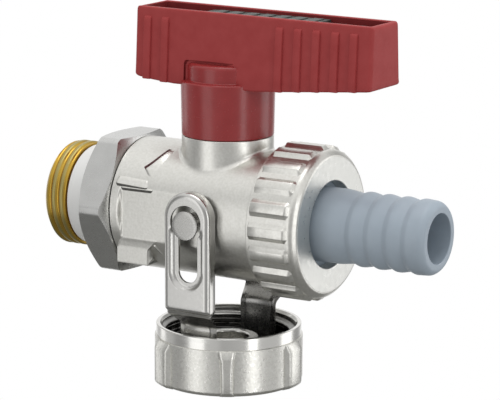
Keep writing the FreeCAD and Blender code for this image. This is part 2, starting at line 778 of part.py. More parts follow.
def hose_nut():
    """Union nut: ribbed round the outside, threaded inside, flat in front."""
    body = document.addObject("PartDesign::Body", "HoseNut")
    thread = "SpigotDia / 2 + NutThreadGap"
    inner_face = "NutFront - NutWall"
    revolve(body, "NutTurning", "X", from_stem([
        ("NutRear", thread),
        ("NutRear", "NutDia / 2"),
        ("NutFront - NutBevel / 2", "NutDia / 2"),
        ("NutFront", "NutDia / 2 - NutBevel / 2"),
        ("NutFront", "NutBore / 2"),
        (inner_face, "NutBore / 2"),
        (inner_face, thread),
    ]))
    root = "NutDia / 2 - NutThreadGap"
    rib_half = "NutRibWide / 2"
    section = polygon(body, "NutRibSection", "YZ_Plane", [
        (f"-{rib_half}", root),
        (rib_half, root),
        (f"{rib_half} * 0.8", "NutRibDia / 2"),
        (f"-{rib_half} * 0.8", "NutRibDia / 2"),
    ], "FaceToStem + NutRear + NutRim")
    rib = pad(body, "NutRib", section, "NutFront - NutRear - NutRim - NutBevel / 2")
    ring_of(body, "NutRibs", rib, "X_Axis", "NutRibCount")
    revolve(body, "NutRibEnds", "X", from_stem([
        ("NutFront - NutBevel * 1.5", "NutRibDia / 2 + 1"),
        ("NutFront - NutBevel * 1.5", "NutRibDia / 2"),
        ("NutFront - NutBevel / 2", "NutDia / 2"),
        ("NutFront + 1", "NutDia / 2"),
        ("NutFront + 1", "NutRibDia / 2 + 1"),
    ]), "PartDesign::Groove")
    place(body, rotation=Rotation(Vector(1, 0, 0), -number("NutTurn")))
    node("hose_nut", body)


def hose_gasket():
    start = "SpigotReach + UnionGap"
    node("hose_gasket", turned("HoseGasket", "X", from_stem([
        (start, "OutletBore / 2"),
        (start, "GasketDia / 2"),
        (start + " + GasketThick", "GasketDia / 2"),
        (start + " + GasketThick", "OutletBore / 2"),
    ])))


def hose_tail():
    """Moulded hose tail: flange, plain tube, saw-tooth barbs and a tapered end."""
    flange_start = "SpigotReach + UnionGap + GasketThick"
    flange_end = "NutFront - NutWall - UnionGap"
    outline = [
        (flange_start, "TailBore / 2"),
        (flange_start, "FlangeDia / 2"),
        (flange_end, "FlangeDia / 2"),
        (flange_end, "TailDia / 2"),
        ("SmoothEnd", "TailDia / 2"),
    ]
    for barb in range(BARB_COUNT):
        valley = f"FirstValley + BarbPitch * {barb}"
        outline.append((valley, "TailValleyDia / 2"))
        outline.append((valley + " + BarbRise * 0.6", "TailDia / 2 - (TailDia - TailValleyDia) * 0.1"))
        outline.append((valley + " + BarbRise", "TailDia / 2"))
        outline.append((valley + " + BarbRise * 1.8", "TailDia / 2 - (TailDia - TailValleyDia) * 0.04"))
    outline.append(("TailEnd - 1.3", "TailTipDia / 2 + 1.05"))
    outline.append(("TailEnd - 0.4", "TailTipDia / 2 + 0.5"))
    outline.append(("TailEnd", "TailTipDia / 2"))
    outline.append(("TailEnd", "TailBore / 2"))
    node("hose_tail", turned("HoseTail", "X", from_stem(outline)))


# Strap

STRAP_X = "FaceToStem + PinOffset"
STRAP_IN = "(BarrelDia / 2 + StrapGap)"
STRAP_OUT = "(BarrelDia / 2 + StrapGap + LegDepth)"


def stadium(name, width, top, low, start, end):
    """Upright plate with a round top, standing between two distances in front of the axis."""
    round_end = cylinder(
        name + "Top", width, f"{end} - ({start})",
        x=STRAP_X, y=f"-({start})", z=f"{top} - ({width}) / 2", rotation=ALONG_FRONT,
    )
    plate = block(
        name + "Plate",
        (width, f"{end} - ({start})", f"{top} - ({width}) / 2 + ({low})"),
        (f"{STRAP_X} - ({width}) / 2", f"-({end})", f"-({low})"),
    )
    return round_end, plate


def capsule(name, width, top, low, start, end):
    """Plate that is round at both ends."""
    parts = stadium(name, width, top, f"{low} - ({width}) / 2", start, end)
    low_end = cylinder(
        name + "Low", width, f"{end} - ({start})",
        x=STRAP_X, y=f"-({start})", z=f"-({low}) + ({width}) / 2", rotation=ALONG_FRONT,
    )
    return fuse(name, *parts, low_end)


def drafted_block(name, inner, outer, start, end):
    """Block round the slot that widens outwards, from the round hole's centre to the slot's round end."""
    slot_centre = "-SlotLow + SlotWidth / 2"
    round_end = document.addObject("Part::Cone", name + "Low")
    bind(round_end, Radius1=f"({inner}) / 2", Radius2=f"({outer}) / 2", Height=f"{end} - ({start})")
    place(round_end, STRAP_X, f"-({start})", slot_centre, ALONG_FRONT)
    body = document.addObject("PartDesign::Body", name + "Plate")
    section = polygon(body, name + "Section", "XY_Plane", [
        (f"-({outer}) / 2", f"-({end})"),
        (f"({outer}) / 2", f"-({end})"),
        (f"({inner}) / 2", f"-({start})"),
        (f"-({inner}) / 2", f"-({start})"),
    ], slot_centre)
    pad(body, name + "Pad", section, f"KeyholeUp - ({slot_centre})")
    place(body, STRAP_X)
    return fuse(name, round_end, body)


def leg_pan():
    """Pressed leg: rim turned in all round but the bottom, and a recess round the slot."""
    outside = fuse("LegOutside", *stadium("LegOuter", "LegWidth", "LegTop", "LegLow", STRAP_IN, STRAP_OUT))
    front = number(STRAP_OUT)

    def front_rim(edge):
        box = edge.BoundBox
        return abs(box.YMin + front) < 0.01 and abs(box.YMax + front) < 0.01 and box.ZLength > 0.1

    rounded = fillet("LegRounded", outside, "LegRound", front_rim)
    inside = fuse("LegInside", *stadium(
        "LegInner", "LegWidth - 2 * SheetThick", "LegTop - SheetThick", "LegLow + 1",
        f"{STRAP_IN} - 1", f"{STRAP_OUT} - SheetThick",
    ))
    floor = f"{STRAP_OUT} - RecessDepth"
    backing = drafted_block(
        "RecessBack", "RecessFoot + 2 * SheetThick", "RecessWidth + SheetThick",
        f"{floor} - SheetThick", f"{STRAP_OUT} - SheetThick / 2",
    )
    recess = drafted_block("Recess", "RecessFoot", "RecessWidth", floor, STRAP_OUT)
    hole = cylinder(
        "Keyhole", "KeyholeDia", STRAP_OUT, x=STRAP_X, y=f"-{STRAP_IN} + 1", z="KeyholeUp", rotation=ALONG_FRONT,
    )
    slot = capsule("KeySlot", "SlotWidth", "KeyholeUp", "SlotLow", f"{STRAP_IN} - 1", f"{STRAP_OUT} + 1")
    pressed = fuse("LegPressed", cut("LegShell", rounded, inside), backing)
    return cut("LegPan", cut("LegDished", pressed, recess), hole, slot)


def leg_bend():
    """Bend from the flat leg in to the curved strip, a skin between two sections."""
    middle = number(STRAP_X)
    upper = bend_section(
        middle, number("LegWidth") / 2, -number("LegLow"),
        number(STRAP_OUT), number(f"{STRAP_OUT} - SheetThick"), None,
    )
    lower = bend_section(
        middle, number("StripWidth") / 2, -number("StripTop"),
        number("StripDia") / 2, number("StripDia") / 2 - number("SheetThick"), True,
    )
    feature = document.addObject("Part::Feature", "LegBend")
    feature.Shape = Part.makeLoft([upper, lower], True, True)
    return feature


def bend_section(middle, half, height, outer, inner, curved):
    """Closed section of the sheet at a height: straight, or curved round the cap axis."""
    def edge_point(side, distance):
        if not curved:
            return Vector(middle + side * half, -distance, height)
        return Vector(middle + side * half, -(distance**2 - half**2) ** 0.5, height)

    def run(distance, side):
        start = edge_point(side, distance)
        end = edge_point(-side, distance)
        if not curved:
            return Part.LineSegment(start, end).toShape()
        return Part.Arc(start, Vector(middle, -distance, height), end).toShape()

    front = run(outer, -1)
    back = run(inner, 1)
    right = Part.LineSegment(edge_point(1, outer), edge_point(1, inner)).toShape()
    left = Part.LineSegment(edge_point(-1, inner), edge_point(-1, outer)).toShape()
    return Part.Wire([front, right, back, left])


BAND_LOW = "CapDrop + CapHeight - CapFloor - CapGasketThick - RunClear"


def strap():
    """Pressed strap: two keyhole legs, bent in to curved strips that a flat band joins."""
    tube = turned("StripTube", "Z", [
        (f"-({BAND_LOW})", "0"),
        (f"-({BAND_LOW})", "StripDia / 2"),
        ("-StripTop", "StripDia / 2"),
        ("-StripTop", "StripDia / 2 - SheetThick"),
        (f"-({BAND_LOW}) + SheetThick", "StripDia / 2 - SheetThick"),
        (f"-({BAND_LOW}) + SheetThick", "0"),
    ], STRAP_X)
    width = block(
        "StripWidthBlock",
        ("StripWidth", "StripDia", "CapHeight + CapDrop"),
        (f"{STRAP_X} - StripWidth / 2", "-StripDia / 2", "-CapHeight - CapDrop"),
    )
    strips = common("Strips", tube, width)
    hole = cylinder(
        "BandHole", "RivetDia + 2 * RivetHoleGap", "CapHeight", x=STRAP_X, z="-CapDrop - CapHeight",
    )
    band = cut("StripsAndBand", strips, hole)
    pan = leg_pan()
    bend = leg_bend()
    node("strap", fuse("Strap", band, pan, bend, mirror("BackPan", pan), mirror("BackBend", bend)))


def strap_pin(name, rotation, side):
    """Headed pin that sits in the body, on the side given by a sign."""
    shank_start = "BarrelDia / 2 - PinSeat"
    head_start = f"{STRAP_OUT} + RunClear"
    shank = cylinder(
        name + "Shank", "PinDia", f"{head_start} - ({shank_start})",
        x=STRAP_X, y=f"({side}) * ({shank_start})", rotation=rotation,
    )
    head = cylinder(
        name + "Head", "PinHeadDia", "PinHeadThick",
        x=STRAP_X, y=f"({side}) * ({head_start})", rotation=rotation,
    )
    return fuse(name, shank, head)


# Cap

def cap():
    """Screw cap hanging mouth upwards, with six ribs that the turned rim cuts back."""
    body = document.addObject("PartDesign::Body", "Cap")
    rim = "-CapDrop"
    low = "-CapDrop - CapHeight"
    revolve(body, "CapTurning", "Z", [
        (low, "0"),
        (low, "CapDia / 2 - CapFoot"),
        (low + " + CapFoot * 0.3", "CapDia / 2 - CapFoot * 0.3"),
        (low + " + CapFoot", "CapDia / 2"),
        (rim + " - CapRimHeight", "CapDia / 2"),
        (rim + " - CapRimHeight", "CapRimDia / 2"),
        (rim, "CapRimDia / 2"),
        (rim, "0"),
    ])
    cap_ribs(body, "SlimRib", -1, low)
    cap_ribs(body, "WideRib", 1, low)
    revolve(body, "RibTurning", "Z", [
        (rim, "CapDia / 2"),
        (rim + " - CapRimHeight", "CapDia / 2"),
        (rim + " - CapRimHeight - CapRibBevel", "CapRibDia / 2"),
        (low + " + CapFoot", "CapRibDia / 2"),
        (low, "CapDia / 2"),
        (low + " - 1", "CapDia / 2"),
        (low + " - 1", "CapRibDia / 2 + 2"),
        (rim, "CapRibDia / 2 + 2"),
    ], "PartDesign::Groove")
    floor = low + " + CapFloor"
    foot_hole = "RivetFootThick + RunClear"
    revolve(body, "CapHollow", "Z", [
        (low + " - 1", "0"),
        (low + " - 1", "RivetFootDia / 2 + RunClear"),
        (f"{low} + {foot_hole}", "RivetFootDia / 2 + RunClear"),
        (f"{low} + {foot_hole}", "RivetDia / 2 + RunClear"),
        (floor, "RivetDia / 2 + RunClear"),
        (floor, "SpigotDia / 2"),
        (rim + " - ThreadChamfer", "SpigotDia / 2"),
        (rim, "CapMouthDia / 2"),
        (rim + " + 1", "CapMouthDia / 2"),
        (rim + " + 1", "0"),
    ], "PartDesign::Groove")
    place(body, STRAP_X, rotation=Rotation(Vector(0, 0, 1), number("CapRibAngle")))
    node("cap", body)


def cap_ribs(body, name, side, low):
    """Three ribs of one kind, the first on the front or back of the cap as the sign says."""
    root = f"{side} * (CapDia / 2 - CapFoot / 3)"
    crest = f"{side} * (CapRibDia / 2 + 0.5)"
    section = polygon(body, name + "Section", "XY_Plane", [
        (f"-{name}Root / 2", root),
        (f"-{name}Crest / 2", crest),
        (f"{name}Crest / 2", crest),
        (f"{name}Root / 2", root),
    ], low)
    rib = pad(body, name, section, "CapHeight - CapRimHeight")
    ring_of(body, name + "s", rib, "Z_Axis", "CapRibCount")


def cap_gasket():
    low = "-CapDrop - CapHeight + CapFloor"
    node("cap_gasket", turned("CapGasket", "Z", [
        (low, "RivetDia / 2 + RivetHoleGap"),
        (low, "SpigotDia / 2 - ThreadChamfer / 2"),
        (low + " + CapGasketThick", "SpigotDia / 2 - ThreadChamfer / 2"),
        (low + " + CapGasketThick", "RivetDia / 2 + RivetHoleGap"),
    ], STRAP_X))


def strap_rivet():
    """Hollow rivet that holds the strap in the cap, with a tall ring for a head."""
    foot = "-CapDrop - CapHeight"
    ring_low = f"-({BAND_LOW}) + SheetThick + RunClear"
    node("strap_rivet", turned("StrapRivet", "Z", [
        (foot, "0"),
        (foot, "RivetFootDia / 2"),
        (foot + " + RivetFootThick", "RivetFootDia / 2"),
        (foot + " + RivetFootThick", "RivetDia / 2"),
        (ring_low, "RivetDia / 2"),
        (ring_low, "RivetRingDia / 2"),
        ("-RivetRingTop - SheetThick / 2", "RivetRingDia / 2"),
        ("-RivetRingTop", "RivetRingDia / 2 - SheetThick / 2"),
        ("-RivetRingTop", "RivetRingDia / 2 - RivetRingWall"),
        (ring_low + " + SheetThick", "RivetRingDia / 2 - RivetRingWall"),
        (ring_low + " + SheetThick", "0"),
    ], STRAP_X))


def build():
    write_sizes()
    end_connector()
    thread_seal_ring()
    valve_body()
    ball()
    node("ball_seat_inlet", ball_seat("InletSeat", "-1"))
    node("ball_seat_outlet", ball_seat("OutletSeat", "1"))
    stem()
    stem_washer()
    node("stem_o_ring_lower", o_ring("LowerRing", "RingLower"))
    node("stem_o_ring_upper", o_ring("UpperRing", "RingUpper"))
    handle()
    handle_screw()
    handle_insert()
    hose_nut()
    hose_gasket()
    hose_tail()
    strap()
    node("strap_pin_front", strap_pin("FrontPin", ALONG_FRONT, "-1"))
    node("strap_pin_rear", strap_pin("RearPin", ALONG_BACK, "1"))
    cap()
    cap_gasket()
    strap_rivet()
    document.recompute()


def check():
    """Stop before anything is written if a feature or a piece is wrong."""
    for feature in document.Objects:
        if "Invalid" in feature.State or "Error" in feature.State:
            raise RuntimeError(f"{feature.Label} failed: {feature.State}")
    for name, feature in NODES.items():
        shape = feature.Shape
        if shape.isNull() or not shape.isValid() or len(shape.Solids) != 1:
            raise RuntimeError(f"{name} is not one valid solid")


def export():
    os.makedirs("parts", exist_ok=True)
    for name, feature in NODES.items():
        feature.Shape.exportStep(f"parts/{name}.step")


build()
check()
export()
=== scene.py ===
import math

import bmesh
import bpy
from mathutils import Matrix, Vector


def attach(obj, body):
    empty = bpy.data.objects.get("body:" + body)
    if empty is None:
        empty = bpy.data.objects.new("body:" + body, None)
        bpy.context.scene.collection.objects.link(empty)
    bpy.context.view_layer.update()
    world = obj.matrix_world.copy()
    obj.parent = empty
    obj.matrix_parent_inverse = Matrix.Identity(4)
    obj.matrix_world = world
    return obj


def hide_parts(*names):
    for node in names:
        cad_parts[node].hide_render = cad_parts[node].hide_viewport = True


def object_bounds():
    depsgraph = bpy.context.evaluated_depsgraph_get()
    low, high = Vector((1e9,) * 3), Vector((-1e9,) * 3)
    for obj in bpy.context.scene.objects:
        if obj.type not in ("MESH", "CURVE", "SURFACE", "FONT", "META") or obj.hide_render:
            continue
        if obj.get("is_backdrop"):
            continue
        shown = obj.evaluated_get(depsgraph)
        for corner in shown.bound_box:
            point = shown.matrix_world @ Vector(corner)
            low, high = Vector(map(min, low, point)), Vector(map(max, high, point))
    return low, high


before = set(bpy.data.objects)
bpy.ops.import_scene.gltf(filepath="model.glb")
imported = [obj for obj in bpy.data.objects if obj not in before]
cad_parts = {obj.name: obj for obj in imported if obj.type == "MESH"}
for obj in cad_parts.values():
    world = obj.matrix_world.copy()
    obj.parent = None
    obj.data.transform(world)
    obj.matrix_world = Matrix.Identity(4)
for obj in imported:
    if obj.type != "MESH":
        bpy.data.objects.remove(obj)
CAD_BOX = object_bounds()

MM = 0.001

# Where things are along the water way, in millimetres from the hexagon's sealing face
STEM_X = 26.3
STRAP_X = 26.6
THREAD_END = -10.3
SEAL_END = -5.1
HEX_END = 7.0
OUTLET_START = 38.95
OUTLET_END = 44.2
NUT_REAR = 39.0
NUT_FRONT = 49.6

# Turned and cast sizes, as radii
PIPE_THREAD = 10.4775
CAP_THREAD = 13.2205
THREAD_PITCH = 1.814
THREAD_DEPTH = 1.162
BARREL = 12.9
NECK = 8.95
PAD_DEPTH = 11.9
LUG_DEPTH = 11.5
NUT_ROOT = 14.35
NUT_CREST = 15.05


# Mesh tools

def circle(radius, steps, place):
    """Points of a circle, given by a function from radius and angle to a point."""
    return [place(radius, 2 * math.pi * step / steps) for step in range(steps)]


def about_x(along):
    return lambda radius, angle: (along, radius * math.cos(angle), radius * math.sin(angle))


def about_z(along, x):
    return lambda radius, angle: (x + radius * math.cos(angle), radius * math.sin(angle), along)


def about_y(along, x):
    return lambda radius, angle: (x + radius * math.cos(angle), along, radius * math.sin(angle))


def shell(name, loops, material, ring=False, sharp=32):
    """Mesh through equal loops of points; the ends are closed, or joined to each other as a ring."""
    mesh = bpy.data.meshes.new(name)
    build = bmesh.new()
    rows = [[build.verts.new(Vector(point) * MM) for point in loop] for loop in loops]
    pairs = list(zip(rows, rows[1:]))
    if ring:
        pairs.append((rows[-1], rows[0]))
    for lower, upper in pairs:
        count = len(lower)
        for index in range(count):
            after = (index + 1) % count
            build.faces.new((lower[index], lower[after], upper[after], upper[index]))
    if not ring:
        for end in (rows[0], rows[-1]):
            if (end[0].co - end[len(end) // 2].co).length > 1e-6:
                build.faces.new(end)
    return finish_mesh(name, mesh, build, material, sharp)


def finish_mesh(name, mesh, build, material, sharp=32):
    """Clean a mesh, point its faces outwards and give it its material."""
    bmesh.ops.remove_doubles(build, verts=build.verts, dist=2e-6)
    bmesh.ops.dissolve_degenerate(build, edges=build.edges, dist=1e-6)
    bmesh.ops.recalc_face_normals(build, faces=build.faces)
    build.to_mesh(mesh)
    build.free()
    mesh.shade_smooth()
    mesh.set_sharp_from_angle(angle=math.radians(sharp))
    mesh.materials.append(material)
    piece = bpy.data.objects.new(name, mesh)
    bpy.context.scene.collection.objects.link(piece)
    return piece


def repaint(piece, material, chosen):
    """Second material on the faces that a test of their middle in millimetres and their normal picks."""
    piece.data.materials.append(material)
    for face in piece.data.polygons:
        if chosen(face.center / MM, face.normal):
            face.material_index = 1
    return piece


def soften(outline, radius=0.25, closed=False):
    """Round the corners of an outline; a third number in a point is its own radius."""
    total = len(outline)
    smooth = []
    for index, corner in enumerate(outline):
        own = corner[2] if len(corner) > 2 else radius
        point = Vector(corner[:2])
        if not closed and index in (0, total - 1) or own == 0:
            smooth.append(tuple(point))
            continue
        before = Vector(outline[index - 1][:2]) - point
        after = Vector(outline[(index + 1) % total][:2]) - point
        reach = min(own, 0.42 * before.length, 0.42 * after.length)
        start = point + before.normalized() * reach
        end = point + after.normalized() * reach
        smooth.append(tuple(point + before.normalized() * min(reach * 1.25, 0.48 * before.length)))
        for step in range(6):
            share = step / 5
            smooth.append(tuple(start * (1 - share)**2 + point * 2 * share * (1 - share) + end * share**2))
        smooth.append(tuple(point + after.normalized() * min(reach * 1.25, 0.48 * after.length)))
    return smooth


def lathe(name, outline, material, axis="X", x=0, radius=0.25, closed=False, steps=144):
    """Turned piece from (along, radius) corners about the water way, or an upright or cross axis at x."""
    places = {
        "X": lambda along: about_x(along),
        "Y": lambda along: about_y(along, x),
        "Z": lambda along: about_z(along, x),
    }
    loops = [circle(max(reach, 0), steps, places[axis](along)) for along, reach in soften(outline, radius, closed)]
    return shell(name, loops, material, closed)


def plain_copy(piece):
    """Turn what the modifiers make into a plain mesh, and take the modifiers away."""
    graph = bpy.context.evaluated_depsgraph_get()
    made = bpy.data.meshes.new_from_object(piece.evaluated_get(graph), depsgraph=graph)
    piece.modifiers.clear()
    piece.data = made
    made.name = piece.name
    return piece


# Node tools

def socket_named(node, name):
    """Input of a node by number or name; of inputs with one name the one in use."""
    if isinstance(name, int):
        return node.inputs[name]
    return next(socket for socket in node.inputs if socket.name == name and socket.enabled)


def add(tree, kind, inputs=None, **settings):
    """Add a node with its settings, and give its inputs values or links."""
    made = tree.nodes.new(kind)
    for name, value in settings.items():
        setattr(made, name, value)
    for name, value in (inputs or {}).items():
        if isinstance(value, bpy.types.NodeSocket):
            tree.links.new(value, socket_named(made, name))
        else:
            socket_named(made, name).default_value = value
    return made


def colour(code):
    """Linear colour of an sRGB hex code."""
    channels = [int(code[start:start + 2], 16) / 255 for start in (1, 3, 5)]
    linear = [value / 12.92 if value <= 0.04045 else ((value + 0.055) / 1.055)**2.4 for value in channels]
    return (*linear, 1)


def new_pattern(name, inputs):
    """Empty geometry tree with a mesh going in and out, and named inputs for its sizes."""
    tree = bpy.data.node_groups.new(name, "GeometryNodeTree")
    tree.interface.new_socket("Rib", in_out="INPUT", socket_type="NodeSocketGeometry")
    for label, kind in inputs:
        tree.interface.new_socket(label, in_out="INPUT", socket_type=kind)
    tree.interface.new_socket("Ribs", in_out="OUTPUT", socket_type="NodeSocketGeometry")
    return tree, add(tree, "NodeGroupInput")


def end_pattern(tree, start, instances):
    real = add(tree, "GeometryNodeRealizeInstances", {"Geometry": instances})
    dressed = add(tree, "GeometryNodeSetMaterial", {
        "Geometry": real.outputs["Geometry"],
        "Material": start.outputs["Material"],
    })
    add(tree, "NodeGroupOutput", {"Ribs": dressed.outputs["Geometry"]})


def round_pattern():
    """Copies of a rib turned about an axis through a centre."""
    tree, start = new_pattern("ribs_round_an_axis", [
        ("Count", "NodeSocketInt"),
        ("First Angle", "NodeSocketFloat"),
        ("Step Angle", "NodeSocketFloat"),
        ("Axis", "NodeSocketVector"),
        ("Centre", "NodeSocketVector"),
        ("Material", "NodeSocketMaterial"),
    ])
    points = add(tree, "GeometryNodeMeshLine", {
        "Count": start.outputs["Count"],
        "Start Location": start.outputs["Centre"],
        "Offset": (0, 0, 0),
    })
    index = add(tree, "GeometryNodeInputIndex")
    angle = add(tree, "ShaderNodeMath", {
        0: index.outputs["Index"],
        1: start.outputs["Step Angle"],
        2: start.outputs["First Angle"],
    }, operation="MULTIPLY_ADD")
    turn = add(tree, "ShaderNodeVectorMath", {
        0: start.outputs["Axis"],
        "Scale": angle.outputs["Value"],
    }, operation="SCALE")
    rotation = add(tree, "FunctionNodeEulerToRotation", {"Euler": turn.outputs["Vector"]})
    copies = add(tree, "GeometryNodeInstanceOnPoints", {
        "Points": points.outputs["Mesh"],
        "Instance": start.outputs["Rib"],
        "Rotation": rotation.outputs["Rotation"],
    })
    end_pattern(tree, start, copies.outputs["Instances"])
    return tree


def row_pattern():
    """Copies of an upright rib along a line; each is squeezed to end at the same height."""
    tree, start = new_pattern("ribs_in_a_row", [
        ("Count", "NodeSocketInt"),
        ("First Foot", "NodeSocketVector"),
        ("Step", "NodeSocketVector"),
        ("Squeeze", "NodeSocketFloat"),
        ("Material", "NodeSocketMaterial"),
    ])
    points = add(tree, "GeometryNodeMeshLine", {
        "Count": start.outputs["Count"],
        "Start Location": start.outputs["First Foot"],
        "Offset": start.outputs["Step"],
    })
    index = add(tree, "GeometryNodeInputIndex")
    height = add(tree, "ShaderNodeMath", {
        0: index.outputs["Index"],
        1: start.outputs["Squeeze"],
        2: 1.0,
    }, operation="MULTIPLY_ADD")
    scale = add(tree, "ShaderNodeCombineXYZ", {"X": 1.0, "Y": 1.0, "Z": height.outputs["Value"]})
    copies = add(tree, "GeometryNodeInstanceOnPoints", {
        "Points": points.outputs["Mesh"],
        "Instance": start.outputs["Rib"],
        "Scale": scale.outputs["Vector"],
    })
    end_pattern(tree, start, copies.outputs["Instances"])
    return tree


def repeat(piece, tree, **values):
    """Run a pattern tree on a rib, and keep the result as a plain mesh."""
    modifier = piece.modifiers.new(tree.name, "NODES")
    modifier.node_group = tree
    sockets = {item.name: item.identifier for item in tree.interface.items_tree if item.in_out == "INPUT"}
    for name, value in values.items():
        modifier[sockets[name.replace("_", " ").title()]] = value
    return plain_copy(piece)


# Materials

def surface(name, base, metallic, roughness):
    """New material with its shader and the coordinates that its patterns use."""
    material = bpy.data.materials.new(name)
    material.use_nodes = True
    tree = material.node_tree
    tree.nodes.clear()
    shader = add(tree, "ShaderNodeBsdfPrincipled", {
        "Base Color": colour(base),
        "Metallic": metallic,
        "Roughness": roughness,
    })
    add(tree, "ShaderNodeOutputMaterial", {"Surface": shader.outputs["BSDF"]})
    place = add(tree, "ShaderNodeTexCoord").outputs["Object"]
    return material, tree, shader, place


def grain(tree, place, size, detail=2.0, roughness=0.5):
    """Noise whose grains are a real size in millimetres."""
    return add(tree, "ShaderNodeTexNoise", {
        "Vector": place,
        "Scale": 1 / (size * MM),
        "Detail": detail,
        "Roughness": roughness,
    }).outputs["Fac"]


def spread(tree, factor, low, high, start=0.3, end=0.7):
    """Colours between two hex codes, by a factor."""
    ramp = add(tree, "ShaderNodeValToRGB", {"Fac": factor})
    ramp.color_ramp.elements[0].position = start
    ramp.color_ramp.elements[0].color = colour(low)
    ramp.color_ramp.elements[1].position = end
    ramp.color_ramp.elements[1].color = colour(high)
    return ramp.outputs["Color"]


def level(tree, factor, low, high):
    """Numbers between two limits, by a factor."""
    return add(tree, "ShaderNodeMapRange", {
        "Value": factor,
        "From Min": 0.3,
        "From Max": 0.7,
        "To Min": low,
        "To Max": high,
    }).outputs["Result"]


def raise_by(tree, shader, height, depth, strength=1.0):
    """Bump of a depth in millimetres."""
    bump = add(tree, "ShaderNodeBump", {"Height": height, "Distance": depth * MM, "Strength": strength})
    tree.links.new(bump.outputs["Normal"], shader.inputs["Normal"])


def blasted_nickel(name, grit, roughness, size=0.3):
    """Nickel plate over brass that was shot blasted: a fine sparkling grit that softens every reflection."""
    material, tree, shader, place = surface(name, "#dad9d3", 1.0, roughness)
    tree.links.new(spread(tree, grain(tree, place, 0.5), "#d4d3cd", "#dfded9"), shader.inputs["Base Color"])
    tree.links.new(level(tree, grain(tree, place, 0.6), roughness - 0.04, roughness + 0.04), shader.inputs["Roughness"])
    raise_by(tree, shader, grain(tree, place, size, 3.0, 0.6), 0.035, grit)
    return material


def turned_nickel(name, axis, roughness, base="#dfdeda"):
    """Turned metal, nickel plated or bare steel: bright, with faint tool rings round the axis."""
    material, tree, shader, place = surface(name, base, 1.0, roughness)
    rings = add(tree, "ShaderNodeMapping", {"Vector": place, "Scale": axis})
    marks = grain(tree, rings.outputs["Vector"], 0.4, 1.0)
    tree.links.new(level(tree, marks, roughness * 0.8, roughness * 1.25), shader.inputs["Roughness"])
    raise_by(tree, shader, marks, 0.006, 0.4)
    return material


def satin_nickel():
    """Nickel plate over drawn hexagon bar: smooth, with a soft sheen and faint clouding."""
    material, tree, shader, place = surface("nickel_plate_satin", "#c6c6c4", 1.0, 0.3)
    tree.links.new(spread(tree, grain(tree, place, 3.0), "#c3c3c1", "#c9c9c7"), shader.inputs["Base Color"])
    tree.links.new(level(tree, grain(tree, place, 0.7), 0.26, 0.33), shader.inputs["Roughness"])
    raise_by(tree, shader, grain(tree, place, 0.5), 0.008, 0.5)
    return material


def bare_brass():
    """Turned brass left bare: deep yellow in the roots of the thread, paler and duller on its rubbed crests."""
    material, tree, shader, place = surface("brass_turned", "#c19d42", 1.0, 0.2)
    across = add(tree, "ShaderNodeVectorMath", {0: place, 1: (0, 1, 1)}, operation="MULTIPLY")
    radius = add(tree, "ShaderNodeVectorMath", {0: across.outputs["Vector"]}, operation="LENGTH")
    crest = add(tree, "ShaderNodeMapRange", {
        "Value": radius.outputs["Value"],
        "From Min": (PIPE_THREAD - 0.2) * MM,
        "From Max": (PIPE_THREAD - 0.06) * MM,
    }).outputs["Result"]
    tree.links.new(spread(tree, crest, "#c19d42", "#a99b63", 0, 1), shader.inputs["Base Color"])
    worn = add(tree, "ShaderNodeMapRange", {"Value": crest, "To Min": 0.25, "To Max": 0.36})
    tree.links.new(worn.outputs["Result"], shader.inputs["Roughness"])
    return material


def stainless_sheet():
    """Rolled stainless sheet, pressed and tumbled: bright and even, with very fine scratches."""
    material, tree, shader, place = surface("stainless_steel_sheet", "#c4c3c0", 1.0, 0.2)
    marks = grain(tree, place, 0.5, 2.0)
    tree.links.new(level(tree, marks, 0.17, 0.23), shader.inputs["Roughness"])
    raise_by(tree, shader, marks, 0.003, 0.25)
    return material


def red_nylon(name, base, light, dark, specular, roughness, texture):
    """Glass filled nylon, moulded in a satin tool: deep red, with a soft low sheen."""
    material, tree, shader, place = surface(name, base, 0.0, roughness)
    shader.inputs["Specular IOR Level"].default_value = specular
    tree.links.new(spread(tree, grain(tree, place, 2.5), dark, light), shader.inputs["Base Color"])
    tree.links.new(level(tree, grain(tree, place, 0.8), roughness - 0.04, roughness + 0.04), shader.inputs["Roughness"])
    raise_by(tree, shader, grain(tree, place, 0.3, 3.0), texture, 0.3)
    return material


def blue_grey_nylon():
    """Moulded nylon in blue grey: satin, with slight flow clouding."""
    material, tree, shader, place = surface("nylon_blue_grey", "#9fabb6", 0.0, 0.45)
    tree.links.new(spread(tree, grain(tree, place, 3.5), "#9da9b4", "#a2aeb9"), shader.inputs["Base Color"])
    raise_by(tree, shader, grain(tree, place, 0.4), 0.008, 0.35)
    return material


def white_ptfe():
    """Turned PTFE: white and waxy, with faint tool rings."""
    material, tree, shader, place = surface("ptfe_white", "#e4e4e2", 0.0, 0.4)
    raise_by(tree, shader, grain(tree, place, 0.5), 0.01, 0.4)
    return material


def dark_insert_plastic():
    """ABS plate, moulded matt: dark grey green."""
    material, tree, shader, place = surface("abs_dark_green_grey", "#333c39", 0.0, 0.5)
    tree.links.new(spread(tree, grain(tree, place, 1.2), "#252d2a", "#454e4a"), shader.inputs["Base Color"])
    raise_by(tree, shader, grain(tree, place, 0.3), 0.02, 0.5)
    return material


def black_rubber():
    """Moulded nitrile rubber: black and dull."""
    material, tree, shader, place = surface("nitrile_rubber_black", "#17181a", 0.0, 0.62)
    raise_by(tree, shader, grain(tree, place, 0.3), 0.02, 0.5)
    return material


def painted_shade_skin(name, base, dark, light):
    """Painted shade for a narrow groove or the underside of a ledge: dull metal in a dark colour that stands in for the
    shade there.
    """
    material, tree, shader, place = surface(name, base, 1.0, 0.55)
    tree.links.new(spread(tree, grain(tree, place, 0.5), dark, light), shader.inputs["Base Color"])
    return material


